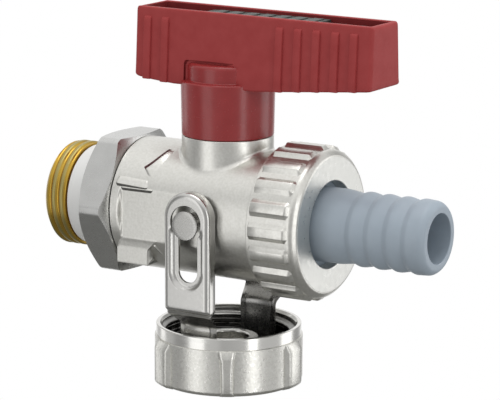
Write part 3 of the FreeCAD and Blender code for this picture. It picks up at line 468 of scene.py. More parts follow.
def painted_shade_metal(name, base, roughness):
    """Inner side of a part with painted shade: a base colour darker than the outside stands in for the shade inside it,
    and it is calmer than the outside.
    """
    material, tree, shader, place = surface(name, base, 1.0, roughness)
    tree.links.new(level(tree, grain(tree, place, 0.6), roughness - 0.04, roughness + 0.04), shader.inputs["Roughness"])
    return material


def polished_chrome():
    """Chrome plated ball: mirror bright with very faint lapping marks."""
    material, tree, shader, place = surface("chrome_plate_polished", "#d6d8da", 1.0, 0.1)
    tree.links.new(level(tree, grain(tree, place, 0.6), 0.08, 0.14), shader.inputs["Roughness"])
    return material


BLASTED = blasted_nickel("nickel_plate_shot_blasted", 0.6, 0.32)
COARSE = blasted_nickel("nickel_plate_blasted_coarse", 1.0, 0.3, 0.5)
SMOOTH_CAST = blasted_nickel("nickel_plate_cast_smooth", 0.08, 0.33)
SATIN = satin_nickel()
TURNED_X = turned_nickel("nickel_plate_turned_along", (1, 0.05, 0.05), 0.2)
FACED = turned_nickel("nickel_plate_faced", (1, 0.4, 0.4), 0.34, "#dadad6")
TURNED_Z = turned_nickel("nickel_plate_turned_upright", (0.05, 0.05, 1), 0.18)
PIN_STEEL = turned_nickel("stainless_steel_turned", (1.6, 1, 1.6), 0.27, "#b3b2af")
BRASS = bare_brass()
STAINLESS = stainless_sheet()
RED = red_nylon("glass_filled_nylon_red", "#a03f3f", "#a34242", "#9d3c3c", 0.16, 0.5, 0.012)
RED_SMOOTH = red_nylon("glass_filled_nylon_red_smooth", "#932f30", "#963132", "#902d2e", 0.5, 0.24, 0.003)
# Painted shade: a darker red for the floor and inner walls of the handle's trough.
RED_INSIDE_PAINTED_SHADE = red_nylon("glass_filled_nylon_red_inside_painted_shade", "#78292a", "#7c2b2c", "#742728", 0.1, 0.6, 0.02)
BLUE_GREY = blue_grey_nylon()
WHITE = white_ptfe()
INSERT = dark_insert_plastic()
RUBBER = black_rubber()
# Painted shade: dark red brown standing in for the shade in the crease's groove and the red handle's reflection there.
GROOVE_PAINTED_SHADE = painted_shade_skin("groove_painted_shade_red_brown", "#5a3638", "#4b2c2e", "#684042")
# Painted shade: dark grey for the shade under the cast ledges on the pad.
LEDGE_PAINTED_SHADE = painted_shade_skin("ledge_painted_shade_grey", "#656461", "#5b5a57", "#706f6b")
# Painted shade: darker nickel for the shade inside the cap's rim and thread.
CAP_INSIDE_PAINTED_SHADE = painted_shade_metal("nickel_plate_inside_painted_shade", "#858481", 0.2)
# Painted shade: darker steel for the strap's inner faces, in shade toward the body and inside the cap.
SHEET_INSIDE_PAINTED_SHADE = painted_shade_metal("stainless_steel_inside_painted_shade", "#959492", 0.26)
CHROME = polished_chrome()
AROUND = round_pattern()
ALONG = row_pattern()


def smoothstep(low, high, value):
    share = min(max((value - low) / (high - low), 0), 1)
    return share * share * (3 - 2 * share)


def soft_min(first, second, width):
    """Smaller of two lengths, with the corner between them rounded."""
    share = min(max(0.5 + 0.5 * (second - first) / width, 0), 1)
    return second * (1 - share) + first * share - width * share * (1 - share)


def soft_max(first, second, width):
    return -soft_min(-first, -second, width)


# Inlet

def thread_height(turns, crest=None):
    """Height of a thread's rounded form, from 0 in the root to 1 on the crest; round and narrow without a crest."""
    if crest is None:
        return (0.5 - 0.5 * math.cos(2 * math.pi * turns))**2.2
    triangle = 1 - abs(2 * (turns % 1) - 1)
    return smoothstep(0.1, 1 - crest, triangle)


def thread_loops(start, end, crest, chamfers, place, depth=THREAD_DEPTH, flat=0.1, phase=0, steps=160, step=0.1):
    """Loops of a helical thread between two ends, cut back by a chamfer at each."""
    count = round((end - start) / step)
    loops = []
    for row in range(count + 1):
        along = start + (end - start) * row / count
        limit = min(crest, crest - chamfers[0] + along - start, crest - chamfers[1] + end - along)
        loop = []
        for index in range(steps):
            angle = 2 * math.pi * index / steps
            height = thread_height(along / THREAD_PITCH - index / steps + phase, flat)
            radius = min(crest - depth * (1 - height), limit)
            loop.append(place(along)(radius, angle))
        loops.append(loop)
    return loops


def inlet_thread():
    steps = 160
    bore = [circle(radius, steps, about_x(along)) for along, radius in (
        (SEAL_END + 0.2, 6.0), (THREAD_END + 0.5, 6.0), (THREAD_END, 6.5), (THREAD_END, 9.0))]
    loops = bore + thread_loops(THREAD_END, SEAL_END - 0.3, PIPE_THREAD, (0.75, 0.3), about_x, 0.42, 0.22, 0.43)
    loops.append(circle(9.3, steps, about_x(SEAL_END - 0.25)))
    loops.append(circle(9.3, steps, about_x(SEAL_END + 0.2)))
    return shell("inlet_thread", loops, BRASS, ring=True)


def seal_ring():
    return lathe("seal_ring", [
        (SEAL_END, 8.6), (SEAL_END, 9.95, 0.35), (-0.15, 10.55, 0.3), (0, 10.2), (0, 8.6),
    ], WHITE, radius=0.05, closed=True)


def inlet_hexagon():
    """Hexagon whose flats meet the turned bevels in true curves."""
    half = 13.25
    steps = 360
    clip = 14.98
    slope = math.tan(math.radians(32))
    loops = []
    for index in range(steps):
        angle = 2 * math.pi * index / steps
        across = (angle + math.pi / 6) % (math.pi / 3) - math.pi / 6
        flat = soft_min(half / math.cos(math.pi / 6 - abs(across)), clip, 0.12)
        face = half - 0.4
        lean = max(flat - face, 0)
        back_lean = max(flat - face - 0.1, 0)
        outline = [
            (0.0, 8.7),
            (0.0, min(face, flat) - 0.1),
            (0.02, min(face, flat)),
            (0.02 + lean * slope, flat),
            (HEX_END * 0.5, flat),
            (HEX_END - back_lean * slope * 0.85 - 0.02, flat),
            (HEX_END - 0.02, min(face + 0.1, flat)),
            (HEX_END, min(face + 0.1, flat) - 0.1),
            (HEX_END, 8.7),
        ]
        loops.append([about_x(along)(radius, angle) for along, radius in outline])
    columns = [list(points) for points in zip(*loops)]
    return shell("inlet_hexagon", columns, SATIN, ring=True, sharp=18)


# Body

def mark_depth(along, degrees):
    """Height of a fine cast fin under the pad."""
    height = BARREL * math.sin(math.radians(degrees))
    if not (-10.5 < height < -5.9 and 15.5 < along < 20):
        return 0
    offset = along - 16.9 - (-6.2 - height) * 0.62
    return 0.22 * math.exp(-(offset / 0.2)**2)


def body_radius(along, degrees):
    """Radius of the cast body at a place along it and an angle up from the front."""
    reach = BARREL if along > HEX_END + 0.2 else BARREL - 0.7
    front = degrees if -90 <= degrees <= 90 else (180 - degrees if degrees > 90 else -180 - degrees)
    angle = math.radians(front)
    if abs(front) < 75:
        pad = PAD_DEPTH / math.cos(angle)
        pad_on = smoothstep(8.9, 9.5, along) * (1 - smoothstep(28, 30, along))
        reach = reach + (soft_min(reach, pad, 0.12) - reach) * pad_on
        if front < -22:
            bevel_slope = (PAD_DEPTH - LUG_DEPTH) / 1.9
            bevel = (PAD_DEPTH + bevel_slope * 4.9) / (math.cos(angle) + bevel_slope * math.sin(-angle))
            face = soft_max(bevel, LUG_DEPTH / math.cos(angle), 0.05)
            face = soft_min(face, pad, 0.05)
            lug = soft_min(face, 10.2 / math.sin(-angle), 0.25)
            below = min(max((-front - 23) / 9, 0), 1)
            left_end = 9.6 - 1.6 * below
            right_end = 17.2 - 2.2 * below
            lug_on = smoothstep(left_end - 0.3, left_end, along) * (1 - smoothstep(right_end, right_end + 0.3, along))
            if front > -60:
                reach = reach + (soft_max(reach, lug, 0.2) - reach) * lug_on
    if degrees == front:
        reach += mark_depth(along, degrees)
    return reach


def spaced(start, end, step):
    count = max(round((end - start) / step), 1)
    return [start + (end - start) * index / count for index in range(count)]


def body_casting():
    alongs = spaced(HEX_END, 18.2, 0.13) + spaced(18.2, 30, 0.5) + spaced(30, 38.75, 1.0)
    fine_front = spaced(-62, 76, 0.62)
    fine_back = [180 - value for value in reversed(fine_front)]
    angles = fine_front + spaced(76, 104, 2) + fine_back[:-1] + spaced(242, 298, 2)
    loops = []
    for along in alongs + [38.75, OUTLET_START]:
        loop = []
        for value in angles:
            degrees = value if value <= 180 else value - 360
            radius = body_radius(along, degrees)
            if along == OUTLET_START:
                radius -= 0.25
            angle = math.radians(degrees)
            loop.append((along, -radius * math.cos(angle), radius * math.sin(angle)))
        loops.append(loop)
    count = len(angles)
    start = [(HEX_END, -10 * math.cos(math.radians(value)), 10 * math.sin(math.radians(value))) for value in angles]
    end = [(OUTLET_START, -10 * math.cos(math.radians(value)), 10 * math.sin(math.radians(value))) for value in angles]
    assert len(start) == count
    return shell("body_casting", [start] + loops + [end], BLASTED, ring=True, sharp=40)


def ledge(name, start, end, rise, out, foot=0.56):
    """Cast ledge on the pad's upper edge, that faces down between two places given as (along, height); its downward
    faces are painted dark as the shade under it.
    """
    section = [(rise, -0.5), (rise, -0.02), (rise * 0.5, out * 0.45), (0.06, out * 0.95), (0, out),
               (-0.05, out * 0.9), (-foot, 0.03), (-foot - 0.08, -0.5)]
    length = end[0] - start[0]
    loops = []
    for along in spaced(start[0], end[0], 0.16) + [end[0]]:
        share = (along - start[0]) / length
        height = start[1] + (end[1] - start[1]) * share
        grown = math.sqrt(max(min((along - start[0]) / 0.45, (end[0] - along) / 0.45, 1), 0.01))
        loop = []
        for lift, height_out in section:
            z = height + lift * grown
            base = min(PAD_DEPTH, math.sqrt(BARREL**2 - z * z))
            loop.append((along, -(base + height_out * grown - 0.02), z))
        loops.append(loop)

    # Painted shade: faces below the ledge's line get the dark shade material.
    def under(middle, normal):
        return middle.z < start[1] + (end[1] - start[1]) * (middle.x - start[0]) / length - 0.03

    return repaint(shell(name, loops, SMOOTH_CAST, sharp=60), LEDGE_PAINTED_SHADE, under)


def crease(name, section, material):
    """Cast step that slants up the shoulder in a light bow, from its section across the line."""
    start, bow, end = (Vector((along, math.radians(turn) * BARREL)) for along, turn in (
        (13.42, 41.5), (15.36, 49.4), (16.5, 67.5)))
    loops = []
    for step in range(41):
        share = step / 40
        grown = min(share / 0.06, (1 - share) / 0.06, 1)
        middle = start * (1 - share)**2 + bow * 2 * share * (1 - share) + end * share**2
        line = ((bow - start) * (1 - share) + (end - bow) * share).normalized()
        aside = Vector((line.y, -line.x))
        loop = []
        for across, lift in section:
            spot = middle + aside * across * (1.15 - 0.75 * share if across > 0.5 else 1)
            radius = BARREL + (lift * grown if lift > 0 else lift)
            angle = spot.y / BARREL
            loop.append((spot.x, -radius * math.cos(angle), radius * math.sin(angle)))
        loops.append(loop)
    return shell(name, loops, material, sharp=50)


def shoulder_crease():
    """Bright facet to the right of the crease, and a thin strip along its upper edge painted dark red brown: painted
    shade of a groove, tinted like a reflection of the red handle.
    """
    yield crease("cast_crease", [(-0.2, -0.6), (-0.16, 0.05), (0.04, 0.3), (0.2, 0.33), (1.2, 0.15), (2.3, -0.03), (2.4, -0.6)],
                 SMOOTH_CAST)
    yield crease("cast_crease_painted_shade_strip", [(-0.7, -0.3), (-0.64, 0.03), (-0.3, 0.1), (0.02, 0.36), (0.2, 0.38), (0.22, 0.25), (0.2, -0.3)],
                 GROOVE_PAINTED_SHADE)


def body_neck():
    """Neck with a small cast fillet that follows the round body."""
    steps = 180
    fillet = 0.75
    loops = []

    def barrel_top(radius, angle):
        return math.sqrt(max(BARREL**2 - (radius * math.sin(angle))**2, 0))

    for row in range(11):
        share = 1 - row / 10
        radius = NECK + fillet * share
        rise = fillet * (1 - math.sqrt(max(1 - (1 - share)**2, 0)))
        loop = []
        for index in range(steps):
            angle = 2 * math.pi * index / steps
            height = barrel_top(radius, angle) + rise - (0.12 if row == 0 else 0)
            loop.append((STEM_X + radius * math.cos(angle), radius * math.sin(angle), height))
        loops.append(loop)
    top = [(15.15, NECK), (15.27, NECK - 0.04), (15.32, NECK - 0.15), (15.32, 6.6), (21.0, 6.6), (21.5, 6.1), (21.5, 3.6)]
    loops += [circle(radius, steps, about_z(height, STEM_X)) for height, radius in top]
    loops.append(circle(3.6, steps, about_z(11.5, STEM_X)))
    loops.append(circle(7.0, steps, about_z(9.0, STEM_X)))
    return shell("body_neck", loops, SMOOTH_CAST, ring=True, sharp=50)


def outlet_thread():
    steps = 160
    loops = [circle(radius, steps, about_x(along)) for along, radius in (
        (OUTLET_START - 6, 6.0), (OUTLET_END, 6.0), (OUTLET_END, 11.8))]
    male = thread_loops(OUTLET_START - 0.2, OUTLET_END, CAP_THREAD, (0, 1.1), about_x)
    loops += list(reversed(male))
    loops.append(circle(9.0, steps, about_x(OUTLET_START - 0.2)))
    loops.append(circle(9.0, steps, about_x(OUTLET_START - 6)))
    return shell("outlet_thread", loops, TURNED_X, ring=True)


# Handle

BAR_LEFT = STEM_X - 17.85
BAR_RIGHT = STEM_X + 34.45
BAR_TOP = 39.3
UNDERSIDE = [(-17.9, 26.1), (-15.3, 25.6), (-9.2, 25.1), (9.2, 25.1), (14.2, 25.5), (34.5, 27.25)]


def underside(x):
    """Height of the bar's underside, from the spindle axis."""
    reach = min(max(x - STEM_X, UNDERSIDE[0][0]), UNDERSIDE[-1][0])
    for (left, low), (right, high) in zip(UNDERSIDE, UNDERSIDE[1:]):
        if reach <= right:
            return low + (high - low) * (reach - left) / (right - left)
    return UNDERSIDE[-1][1]


def half_width(height):
    return (11.9 + (10.2 - 11.9) * (height - 25.3) / (BAR_TOP - 25.3)) / 2


SIDE_STATIONS = (
    -14, -11, -9, -7.5, -6.45, -6.3, -6.05, -5.7, -5, -3, -1, 1, 3, 4.6, 4.9, 6, 7.5, 9, 11, 14, 17, 20, 23, 26, 29,
)
POCKET_LEFT = -6.4
POCKET_RIGHT = 4.7


def bar_loop(inset, width, corner, height, pocket=0.0, tuck=0.0):
    """Rounded rectangle round the bar, whose height may change along it; the pocket is cut in both sides."""
    left = BAR_LEFT + inset
    right = BAR_RIGHT - inset
    corner = min(corner, width * 0.9)
    points = []
    arcs = [(right - corner, width - corner, 0), (left + corner, width - corner, 90),
            (left + corner, corner - width, 180), (right - corner, corner - width, 270)]
    for turn, (middle_x, middle_y, first) in enumerate(arcs):
        for step in range(9):
            angle = math.radians(first + 90 * step / 8)
            points.append((middle_x + corner * math.cos(angle), middle_y + corner * math.sin(angle)))
        if turn % 2:
            points += [(middle_x - corner, middle_y * (1 - step / 4)) for step in range(1, 8)] if turn == 1 else \
                      [(middle_x + corner, middle_y * (1 - step / 4)) for step in range(1, 8)]
            continue
        side = width if turn == 0 else -width
        stations = reversed(SIDE_STATIONS) if turn == 0 else SIDE_STATIONS
        for reach in stations:
            cut = pocket if POCKET_LEFT + tuck < reach < POCKET_RIGHT - tuck else 0
            points.append((STEM_X + min(max(reach, left + corner - STEM_X + 0.01), right - corner - STEM_X - 0.01),
                           side - math.copysign(cut, side)))
    return [(x, y, height(x)) for x, y in points]


def rim_height(x):
    """Height of the rim, which rounds off at both ends."""
    distance = min(x - BAR_LEFT, BAR_RIGHT - x, 0.8)
    lean = 0.2 - 0.006 * (x - STEM_X)
    return BAR_TOP + lean - 0.8 + math.sqrt(max(0.8**2 - (0.8 - distance)**2, 0))


def handle_bar():
    """Hollow bar of the handle, open at the top."""
    loops = [bar_loop(5.0, 0.02, 0.01, underside)]
    for drop in (90, 60, 30, 0):
        angle = math.radians(drop)
        edge = 0.5 * (1 - math.cos(angle))
        rise = 0.5 * (1 - math.sin(angle))
        loops.append(bar_loop(edge, half_width(25.8) - edge, 0.8, lambda x, rise=rise: underside(x) + rise, 0.45))
    for height, pocket, tuck in (
        (28.5, 0.45, 0), (29.2, 0.45, 0), (29.6, 0.45, 0.25), (29.9, 0.45, 0.6), (30.05, 0, 0), (32, 0, 0),
        (34, 0, 0), (37, 0, 0),
    ):
        loops.append(bar_loop(0, half_width(height), 0.8, lambda x, height=height: height, pocket, tuck))
    loops.append(bar_loop(0, half_width(38.2), 0.8, lambda x: rim_height(x) - 0.75))
    for turn in (0, 30, 60, 90):
        angle = math.radians(turn)
        edge = 0.3 * (1 - math.cos(angle))
        drop = 0.3 * (1 - math.sin(angle))
        width = half_width(39.1) - edge
        loops.append(bar_loop(edge, width, 0.8 - edge, lambda x, drop=drop: rim_height(x) - drop))
    inner = half_width(39.3) - 1.05
    for turn in (90, 60, 30, 0):
        angle = math.radians(turn)
        edge = 1.05 - 0.2 * (1 - math.cos(angle))
        drop = 0.2 * (1 - math.sin(angle))
        width = half_width(39.3) - edge
        loops.append(bar_loop(edge, width, 0.3, lambda x, drop=drop: rim_height(x) - drop))
    for height in (36, 32, 29.1):
        loops.append(bar_loop(1.1, inner, 0.3, lambda x, height=height: height))
    loops.append(bar_loop(1.4, inner - 0.3, 0.2, lambda x: 28.8))
    loops.append(bar_loop(5.0, 0.02, 0.01, lambda x: 28.8))
    middle_x = (BAR_LEFT + BAR_RIGHT) / 2

    # Painted shade: the trough's floor and inner walls take the darker red.
    def trough_painted_shade(middle, normal):
        inward = normal.y * middle.y < -0.5 or normal.x * (middle.x - middle_x) < -5
        return middle.z < 38.9 and (normal.z > 0.9 or inward)

    return repaint(shell("handle_bar", loops, RED, sharp=45), RED_INSIDE_PAINTED_SHADE, trough_painted_shade)


def grip_rib(name):
    """One grip rib on both walls, standing on the height 0 and 12.6 tall before it is squeezed."""
    tall = 12.6
    base = 25.1
    half = 0.8
    loops = []
    section = [(-half, -1), (-half, -0.16), (-half + 0.05, -0.05), (-half + 0.16, 0),
               (half - 0.16, 0), (half - 0.05, -0.05), (half, -0.16), (half, -1)]
    rows = [(0, 0.25), (0.08, 0.08), (0.25, 0), (3, 0), (6, 0), (9, 0), (11.6, 0), (12.1, 0.08), (12.4, 0.22), (tall, 0.5)]
    for side in (-1, 1):
        loops = []
        for height, sink in rows:
            wall = half_width(base + height) + 0.45 - sink
            loops.append([(x, side * (wall + depth), height) for x, depth in section])
        piece = shell(name + ("_a" if side < 0 else "_b"), loops, RED, sharp=40)
        yield piece


def join(name, pieces):
    """One object from several, with doubles kept apart."""
    build = bmesh.new()
    material = pieces[0].data.materials[0]
    for piece in pieces:
        build.from_mesh(piece.data)
        bpy.data.objects.remove(piece)
    mesh = bpy.data.meshes.new(name)
    build.to_mesh(mesh)
    build.free()
    mesh.materials.append(material)
    joined = bpy.data.objects.new(name, mesh)
    bpy.context.scene.collection.objects.link(joined)
    return joined


def grip_ribs(name, first, count, step):
    """Row of grip ribs whose feet follow the underside and whose tops are level."""
    rib = join(name, list(grip_rib(name + "_rib")))
    foot = underside(first) + 0.05
    last_foot = underside(first + step * (count - 1)) + 0.05
    rise = (last_foot - foot) / max(count - 1, 1)
    tall = 37.9 - foot
    rib.data.transform(Matrix.Diagonal((1, 1, tall / 12.6, 1)))
    return repeat(
        rib, ALONG, count=count, first_foot=(first * MM, 0, foot * MM),
        step=(step * MM, 0, rise * MM), squeeze=-rise / tall, material=RED,
    )


def handle_hub():
    return lathe("handle_hub", [
        (15.4, 7.2), (15.4, 8.96, 0.2), (26.05, 9.17, 0.35), (26.2, 7.95, 0.2),
        (29.55, 7.95, 1.0), (29.55, 2.1, 0.1), (23.5, 2.1, 0.1), (23.5, 7.2, 0.2),
    ], RED_SMOOTH, axis="Z", x=STEM_X, radius=0.1, closed=True)


def insert_plate():
    """Plate in the trough, with plain raised bars and no lettering."""
    left = STEM_X - 5.4
    right = STEM_X + 20.6
    boxes = [((left, -3.9, 37.0), (right, 3.9, 38.72))]
    count = 7
    for index in range(count):
        start = left + 2 + index * 3.5
        boxes.append(((start, -2.6, 38.6), (start + 2.2, 2.6, 38.95)))
    return rounded_boxes("insert_plate", boxes, 0.15, INSERT)


def rounded_boxes(name, boxes, radius, material):
    """Bevelled blocks as one piece."""
    build = bmesh.new()
    for low, high in boxes:
        middle = (Vector(low) + Vector(high)) / 2
        size = Vector(high) - Vector(low)
        place = Matrix.Translation(middle * MM) @ Matrix.Diagonal((*(size * MM), 1))
        bmesh.ops.create_cube(build, size=1, matrix=place)
    bmesh.ops.bevel(
        build, geom=list(build.edges), offset=radius * MM, segments=3, affect="EDGES", profile=0.5,
        clamp_overlap=True,
    )
    return finish_mesh(name, bpy.data.meshes.new(name), build, material, 30)


# Hose union

def nut_body():
    return lathe("nut_body", [
        (NUT_REAR, 13.3), (NUT_REAR, NUT_ROOT, 0.15), (NUT_FRONT - 1.0, NUT_ROOT, 0.7),
        (NUT_FRONT - 0.03, 13.3, 0.3), (NUT_FRONT - 0.03, 8.4, 0.35), (NUT_FRONT - 2.4, 8.4),
        (NUT_FRONT - 2.4, 13.0),
    ], SMOOTH_CAST, radius=0.1, closed=True, steps=180)


def nut_face():
    """Machined front face of the nut, a skin on the casting."""
    return lathe("nut_face", [
        (NUT_FRONT - 0.6, 13.1), (NUT_FRONT, 13.05, 0.1), (NUT_FRONT, 8.45, 0.35), (NUT_FRONT - 0.6, 8.4),
    ], FACED, radius=0.05, closed=True, steps=180)


def nut_ribs():
    """Ribs round the nut, with bevelled ends and rounded flanks."""
    section = [(-1.8, -1.0), (-1.62, -0.71), (-1.45, -0.62), (-1.0, -0.13), (-0.9, -0.04), (-0.78, 0),
               (0.78, 0), (0.9, -0.04), (1.0, -0.13), (1.45, -0.62), (1.62, -0.71), (1.8, -1.0)]
    rows = [(39.62, -0.75), (39.7, -0.3), (39.82, -0.08), (40.0, 0), (42, 0), (44, 0), (47.2, 0), (47.42, -0.05),
            (47.56, -0.16), (48.1, -0.78)]
    loops = []
    for along, sink in rows:
        loops.append([(along, -(NUT_CREST + height + sink * (1 + height / 1.2)), across)
                      for across, height in section])
    rib = shell("nut_ribs", loops, SMOOTH_CAST, sharp=38)
    return repeat(
        rib, AROUND, count=20, first_angle=math.radians(-1.5), step_angle=math.radians(18),
        axis=(1, 0, 0), centre=(0, 0, 0), material=SMOOTH_CAST,
    )


def hose_tail():
    """Hose tail with saw-tooth barbs and a rounded end."""
    def at(reach):
        return STEM_X + reach

    outline = [(at(19.05), 4.8), (at(19.05), 12.7), (at(20.85), 12.7), (at(20.85), 7.2, 0.3), (at(26.2), 7.2, 0.9)]
    for barb in range(4):
        valley = 29.75 + 3.93 * barb
        outline.append((at(valley), 6.7, 0.12))
        outline.append((at(valley + 1.15), 7.2, 0.35))
        outline.append((at(valley + 1.9), 7.17, 0.6))
    outline += [(at(45.35), 7.02, 0.8), (at(46.3), 6.2, 0.55), (at(46.3), 4.8, 0.2)]
    return lathe("barbed_tail", outline, BLUE_GREY, radius=0.15, closed=True)


# Strap

LEG_HALF = 5.1
LEG_TOP = 6.3
LEG_FACE = 15.8
LEG_ROUND = 1.0
FACE_LOW = -16.2
KEYHOLE = 3.42
KEYHOLE_UP = 0.45
SLOT_HALF = 2.13
SLOT_LOW = -11.35
RECESS_HALF = 3.8
RECESS_FOOT = 2.92
RECESS_DEPTH = 0.85
ROUNDS = 96
SIDE = 24
NOTCH = 8
CORNER = 16
BEND_START = -9.22


def stadium_loop(half, top, low, depth, bottom_round):
    """Closed loop round a leg: round top, straight sides and a round or square bottom."""
    points = []
    centre = top - half
    for step in range(ROUNDS // 2 + 1):
        angle = math.pi * step / (ROUNDS // 2)
        points.append((half * math.cos(angle), centre + half * math.sin(angle)))
    for step in range(1, SIDE):
        points.append((-half, centre + (BEND_START - centre) * step / SIDE))
    across = ROUNDS // 2 - 2 * CORNER
    for step in range(ROUNDS // 2 + 1):
        if bottom_round:
            angle = math.pi + math.pi * step / (ROUNDS // 2)
            points.append((half * math.cos(angle), BEND_START + half * math.sin(angle)))
        elif step < CORNER:
            points.append((-half, BEND_START + (low - BEND_START) * step / CORNER))
        elif step > CORNER + across:
            points.append((half, low + (BEND_START - low) * (step - CORNER - across) / CORNER))
        else:
            points.append((-half + 2 * half * (step - CORNER) / across, low))
    for step in range(1, SIDE):
        points.append((half, BEND_START + (centre - BEND_START) * step / SIDE))
    return [(STRAP_X + x, -depth, z) for x, z in points]


def keyhole_loop():
    """Loop round the keyhole and its slot, point for point with the leg's outline."""
    join_z = KEYHOLE_UP - math.sqrt(KEYHOLE**2 - SLOT_HALF**2)
    turn = math.atan2(join_z - KEYHOLE_UP, -SLOT_HALF) % (2 * math.pi)
    right = math.pi - turn
    points = []

    def round_hole(angle):
        points.append((KEYHOLE * math.cos(angle), KEYHOLE_UP + KEYHOLE * math.sin(angle)))

    for step in range(ROUNDS // 2 + 1):
        round_hole(math.pi * step / (ROUNDS // 2))
    for step in range(1, NOTCH):
        round_hole(math.pi + (turn - math.pi) * step / NOTCH)
    floor = SLOT_LOW + SLOT_HALF
    for step in range(SIDE - NOTCH):
        points.append((-SLOT_HALF, join_z + (floor - join_z) * step / (SIDE - NOTCH)))
    for step in range(ROUNDS // 2 + 1):
        angle = math.pi + math.pi * step / (ROUNDS // 2)
        points.append((SLOT_HALF * math.cos(angle), floor + SLOT_HALF * math.sin(angle)))
    for step in range(1, SIDE - NOTCH):
        points.append((SLOT_HALF, floor + (join_z - floor) * step / (SIDE - NOTCH)))
    for step in range(NOTCH):
        round_hole(right * (1 - step / NOTCH))
    return [(STRAP_X + x, -LEG_FACE, z) for x, z in points]


def slot_distance(x, z):
    nearest = min(max(z, SLOT_LOW + SLOT_HALF), KEYHOLE_UP - 1.8)
    return math.hypot(x - STRAP_X, z - nearest)


def recess_depth(x, z, edge):
    """How deep the face is pressed in, by the distance to the middle line; the hole's edge lies on the floor."""
    distance = slot_distance(x, z)
    first = slot_distance(edge[0], edge[2])
    if RECESS_FOOT < first < distance < RECESS_HALF:
        distance = RECESS_FOOT + (distance - first) * (RECESS_HALF - RECESS_FOOT) / (RECESS_HALF - first)
    elif first >= distance:
        distance = min(distance, RECESS_FOOT)
    share = min(max((RECESS_HALF - distance) / (RECESS_HALF - RECESS_FOOT), 0), 1)
    depth = RECESS_DEPTH * (1 - smoothstep(-1.8, -0.7, z))
    return depth * smoothstep(-0.12, 1.12, share) if 0 < share < 1 else depth * share


def leg_face_loops():
    """Loops of a leg's face from the keyhole's edge out to where its rim bends."""
    hole = keyhole_loop()
    flat = LEG_HALF - LEG_ROUND
    inner_flat = flat - 0.12
    edge = stadium_loop(inner_flat, LEG_TOP - LEG_ROUND - 0.12, 0, LEG_FACE, True)
    reach = inner_flat - SLOT_HALF
    halves = [SLOT_HALF, 2.2, 2.4, 2.65, 2.82]
    halves += [RECESS_FOOT + (RECESS_HALF - RECESS_FOOT) * step / 14 for step in range(15)]
    halves += [3.88, inner_flat]
    loops = []
    for half in halves:
        share = (half - SLOT_HALF) / reach
        loop = []
        for inner, outer in zip(hole, edge):
            x = inner[0] + (outer[0] - inner[0]) * share
            z = inner[2] + (outer[2] - inner[2]) * share
            loop.append((x, recess_depth(x, z, inner) - LEG_FACE, z))
        loops.append(loop)
    loops.append(stadium_loop(inner_flat, LEG_TOP - LEG_ROUND - 0.12, FACE_LOW + 0.3, LEG_FACE, False))
    loops.append(stadium_loop(flat, LEG_TOP - LEG_ROUND, FACE_LOW, LEG_FACE, False))
    return loops


RIM = [(LEG_ROUND * (1 - math.sin(math.radians(turn))), LEG_ROUND * (1 - math.cos(math.radians(turn))))
       for turn in (0, 15, 30, 45, 60, 75, 90)] + [(0, 1.6), (0, 2.55)]


def leg_rim_loops():
    """Loops of the rim that is turned in along the top and sides of a leg."""
    loops = []
    for inset, drop in RIM:
        full = stadium_loop(LEG_HALF - inset, LEG_TOP - inset, FACE_LOW, LEG_FACE - drop, False)
        left_end = ROUNDS // 2 + SIDE + CORNER
        right_start = left_end + ROUNDS // 2 - 2 * CORNER
        loops.append(full[right_start:] + full[:left_end + 1])
    return loops


def open_sheet(build, rows):
    """Faces between open rows of points."""
    grid = [[build.verts.new(Vector(point) * MM) for point in row] for row in rows]
    for lower, upper in zip(grid, grid[1:]):
        for index in range(len(lower) - 1):
            build.faces.new((lower[index], lower[index + 1], upper[index + 1], upper[index]))


def bend_rows():
    """Rows from the flat leg down through the stepped bend, whose rim fades, to the strip under it."""
    count = ROUNDS // 2 - 2 * CORNER
    rows = []

    def row(half, height, depth, arc, rim):
        points = []
        for inset, drop in reversed(RIM):
            points.append((STRAP_X - half + inset, -(depth - drop * rim), height))
        flat = half - LEG_ROUND
        for step in range(1, count):
            across = -flat + 2 * flat * step / count
            curved = math.sqrt(depth**2 - across**2)
            points.append((STRAP_X + across, -(depth + (curved - depth) * arc), height))
        for inset, drop in RIM:
            points.append((STRAP_X + half - inset, -(depth - drop * rim), height))
        if arc:
            edge = depth - math.sqrt(depth**2 - half**2)
            points = [(x, y + edge * arc * max(abs(x - STRAP_X) - flat, 0) / LEG_ROUND
                       if abs(x - STRAP_X) > flat else y, z) for x, y, z in points]
        return points

    profile = [
        (FACE_LOW, 15.8), (-16.45, 15.77), (-16.7, 15.68), (-16.9, 15.52), (-17.05, 15.3), (-17.2, 15.05),
        (-17.3, 14.92), (-17.42, 14.83), (-17.6, 14.78), (-17.78, 14.7), (-17.95, 14.52), (-18.3, 14.1),
        (-18.8, 13.5), (-19.3, 12.9), (-19.8, 12.35), (-20.1, 12.05), (-20.35, 11.88), (-20.6, 11.78),
        (-20.9, 11.72), (-21.3, 11.7), (-24, 11.7), (-27, 11.7), (-29.4, 11.7),
    ]
    for height, depth in profile:
        share = smoothstep(-16.6, -20.4, height)
        rim = 1 - 0.98 * smoothstep(-16.5, -18.0, height)
        rows.append(row(LEG_HALF - share, height, depth, smoothstep(-18.5, -20.6, height) * 0.8, rim))
    for turn in (30, 60, 90):
        angle = math.radians(turn)
        rows.append(row(4.1, -29.4 - 1.0 * math.sin(angle), 11.7 - 1.0 * (1 - math.cos(angle)), 0.8, 0.02))
    for depth in (9.0, 7.0, 5.5, 4.2):
        rows.append(row(4.1, -30.4, depth, 0, 0))
    return rows


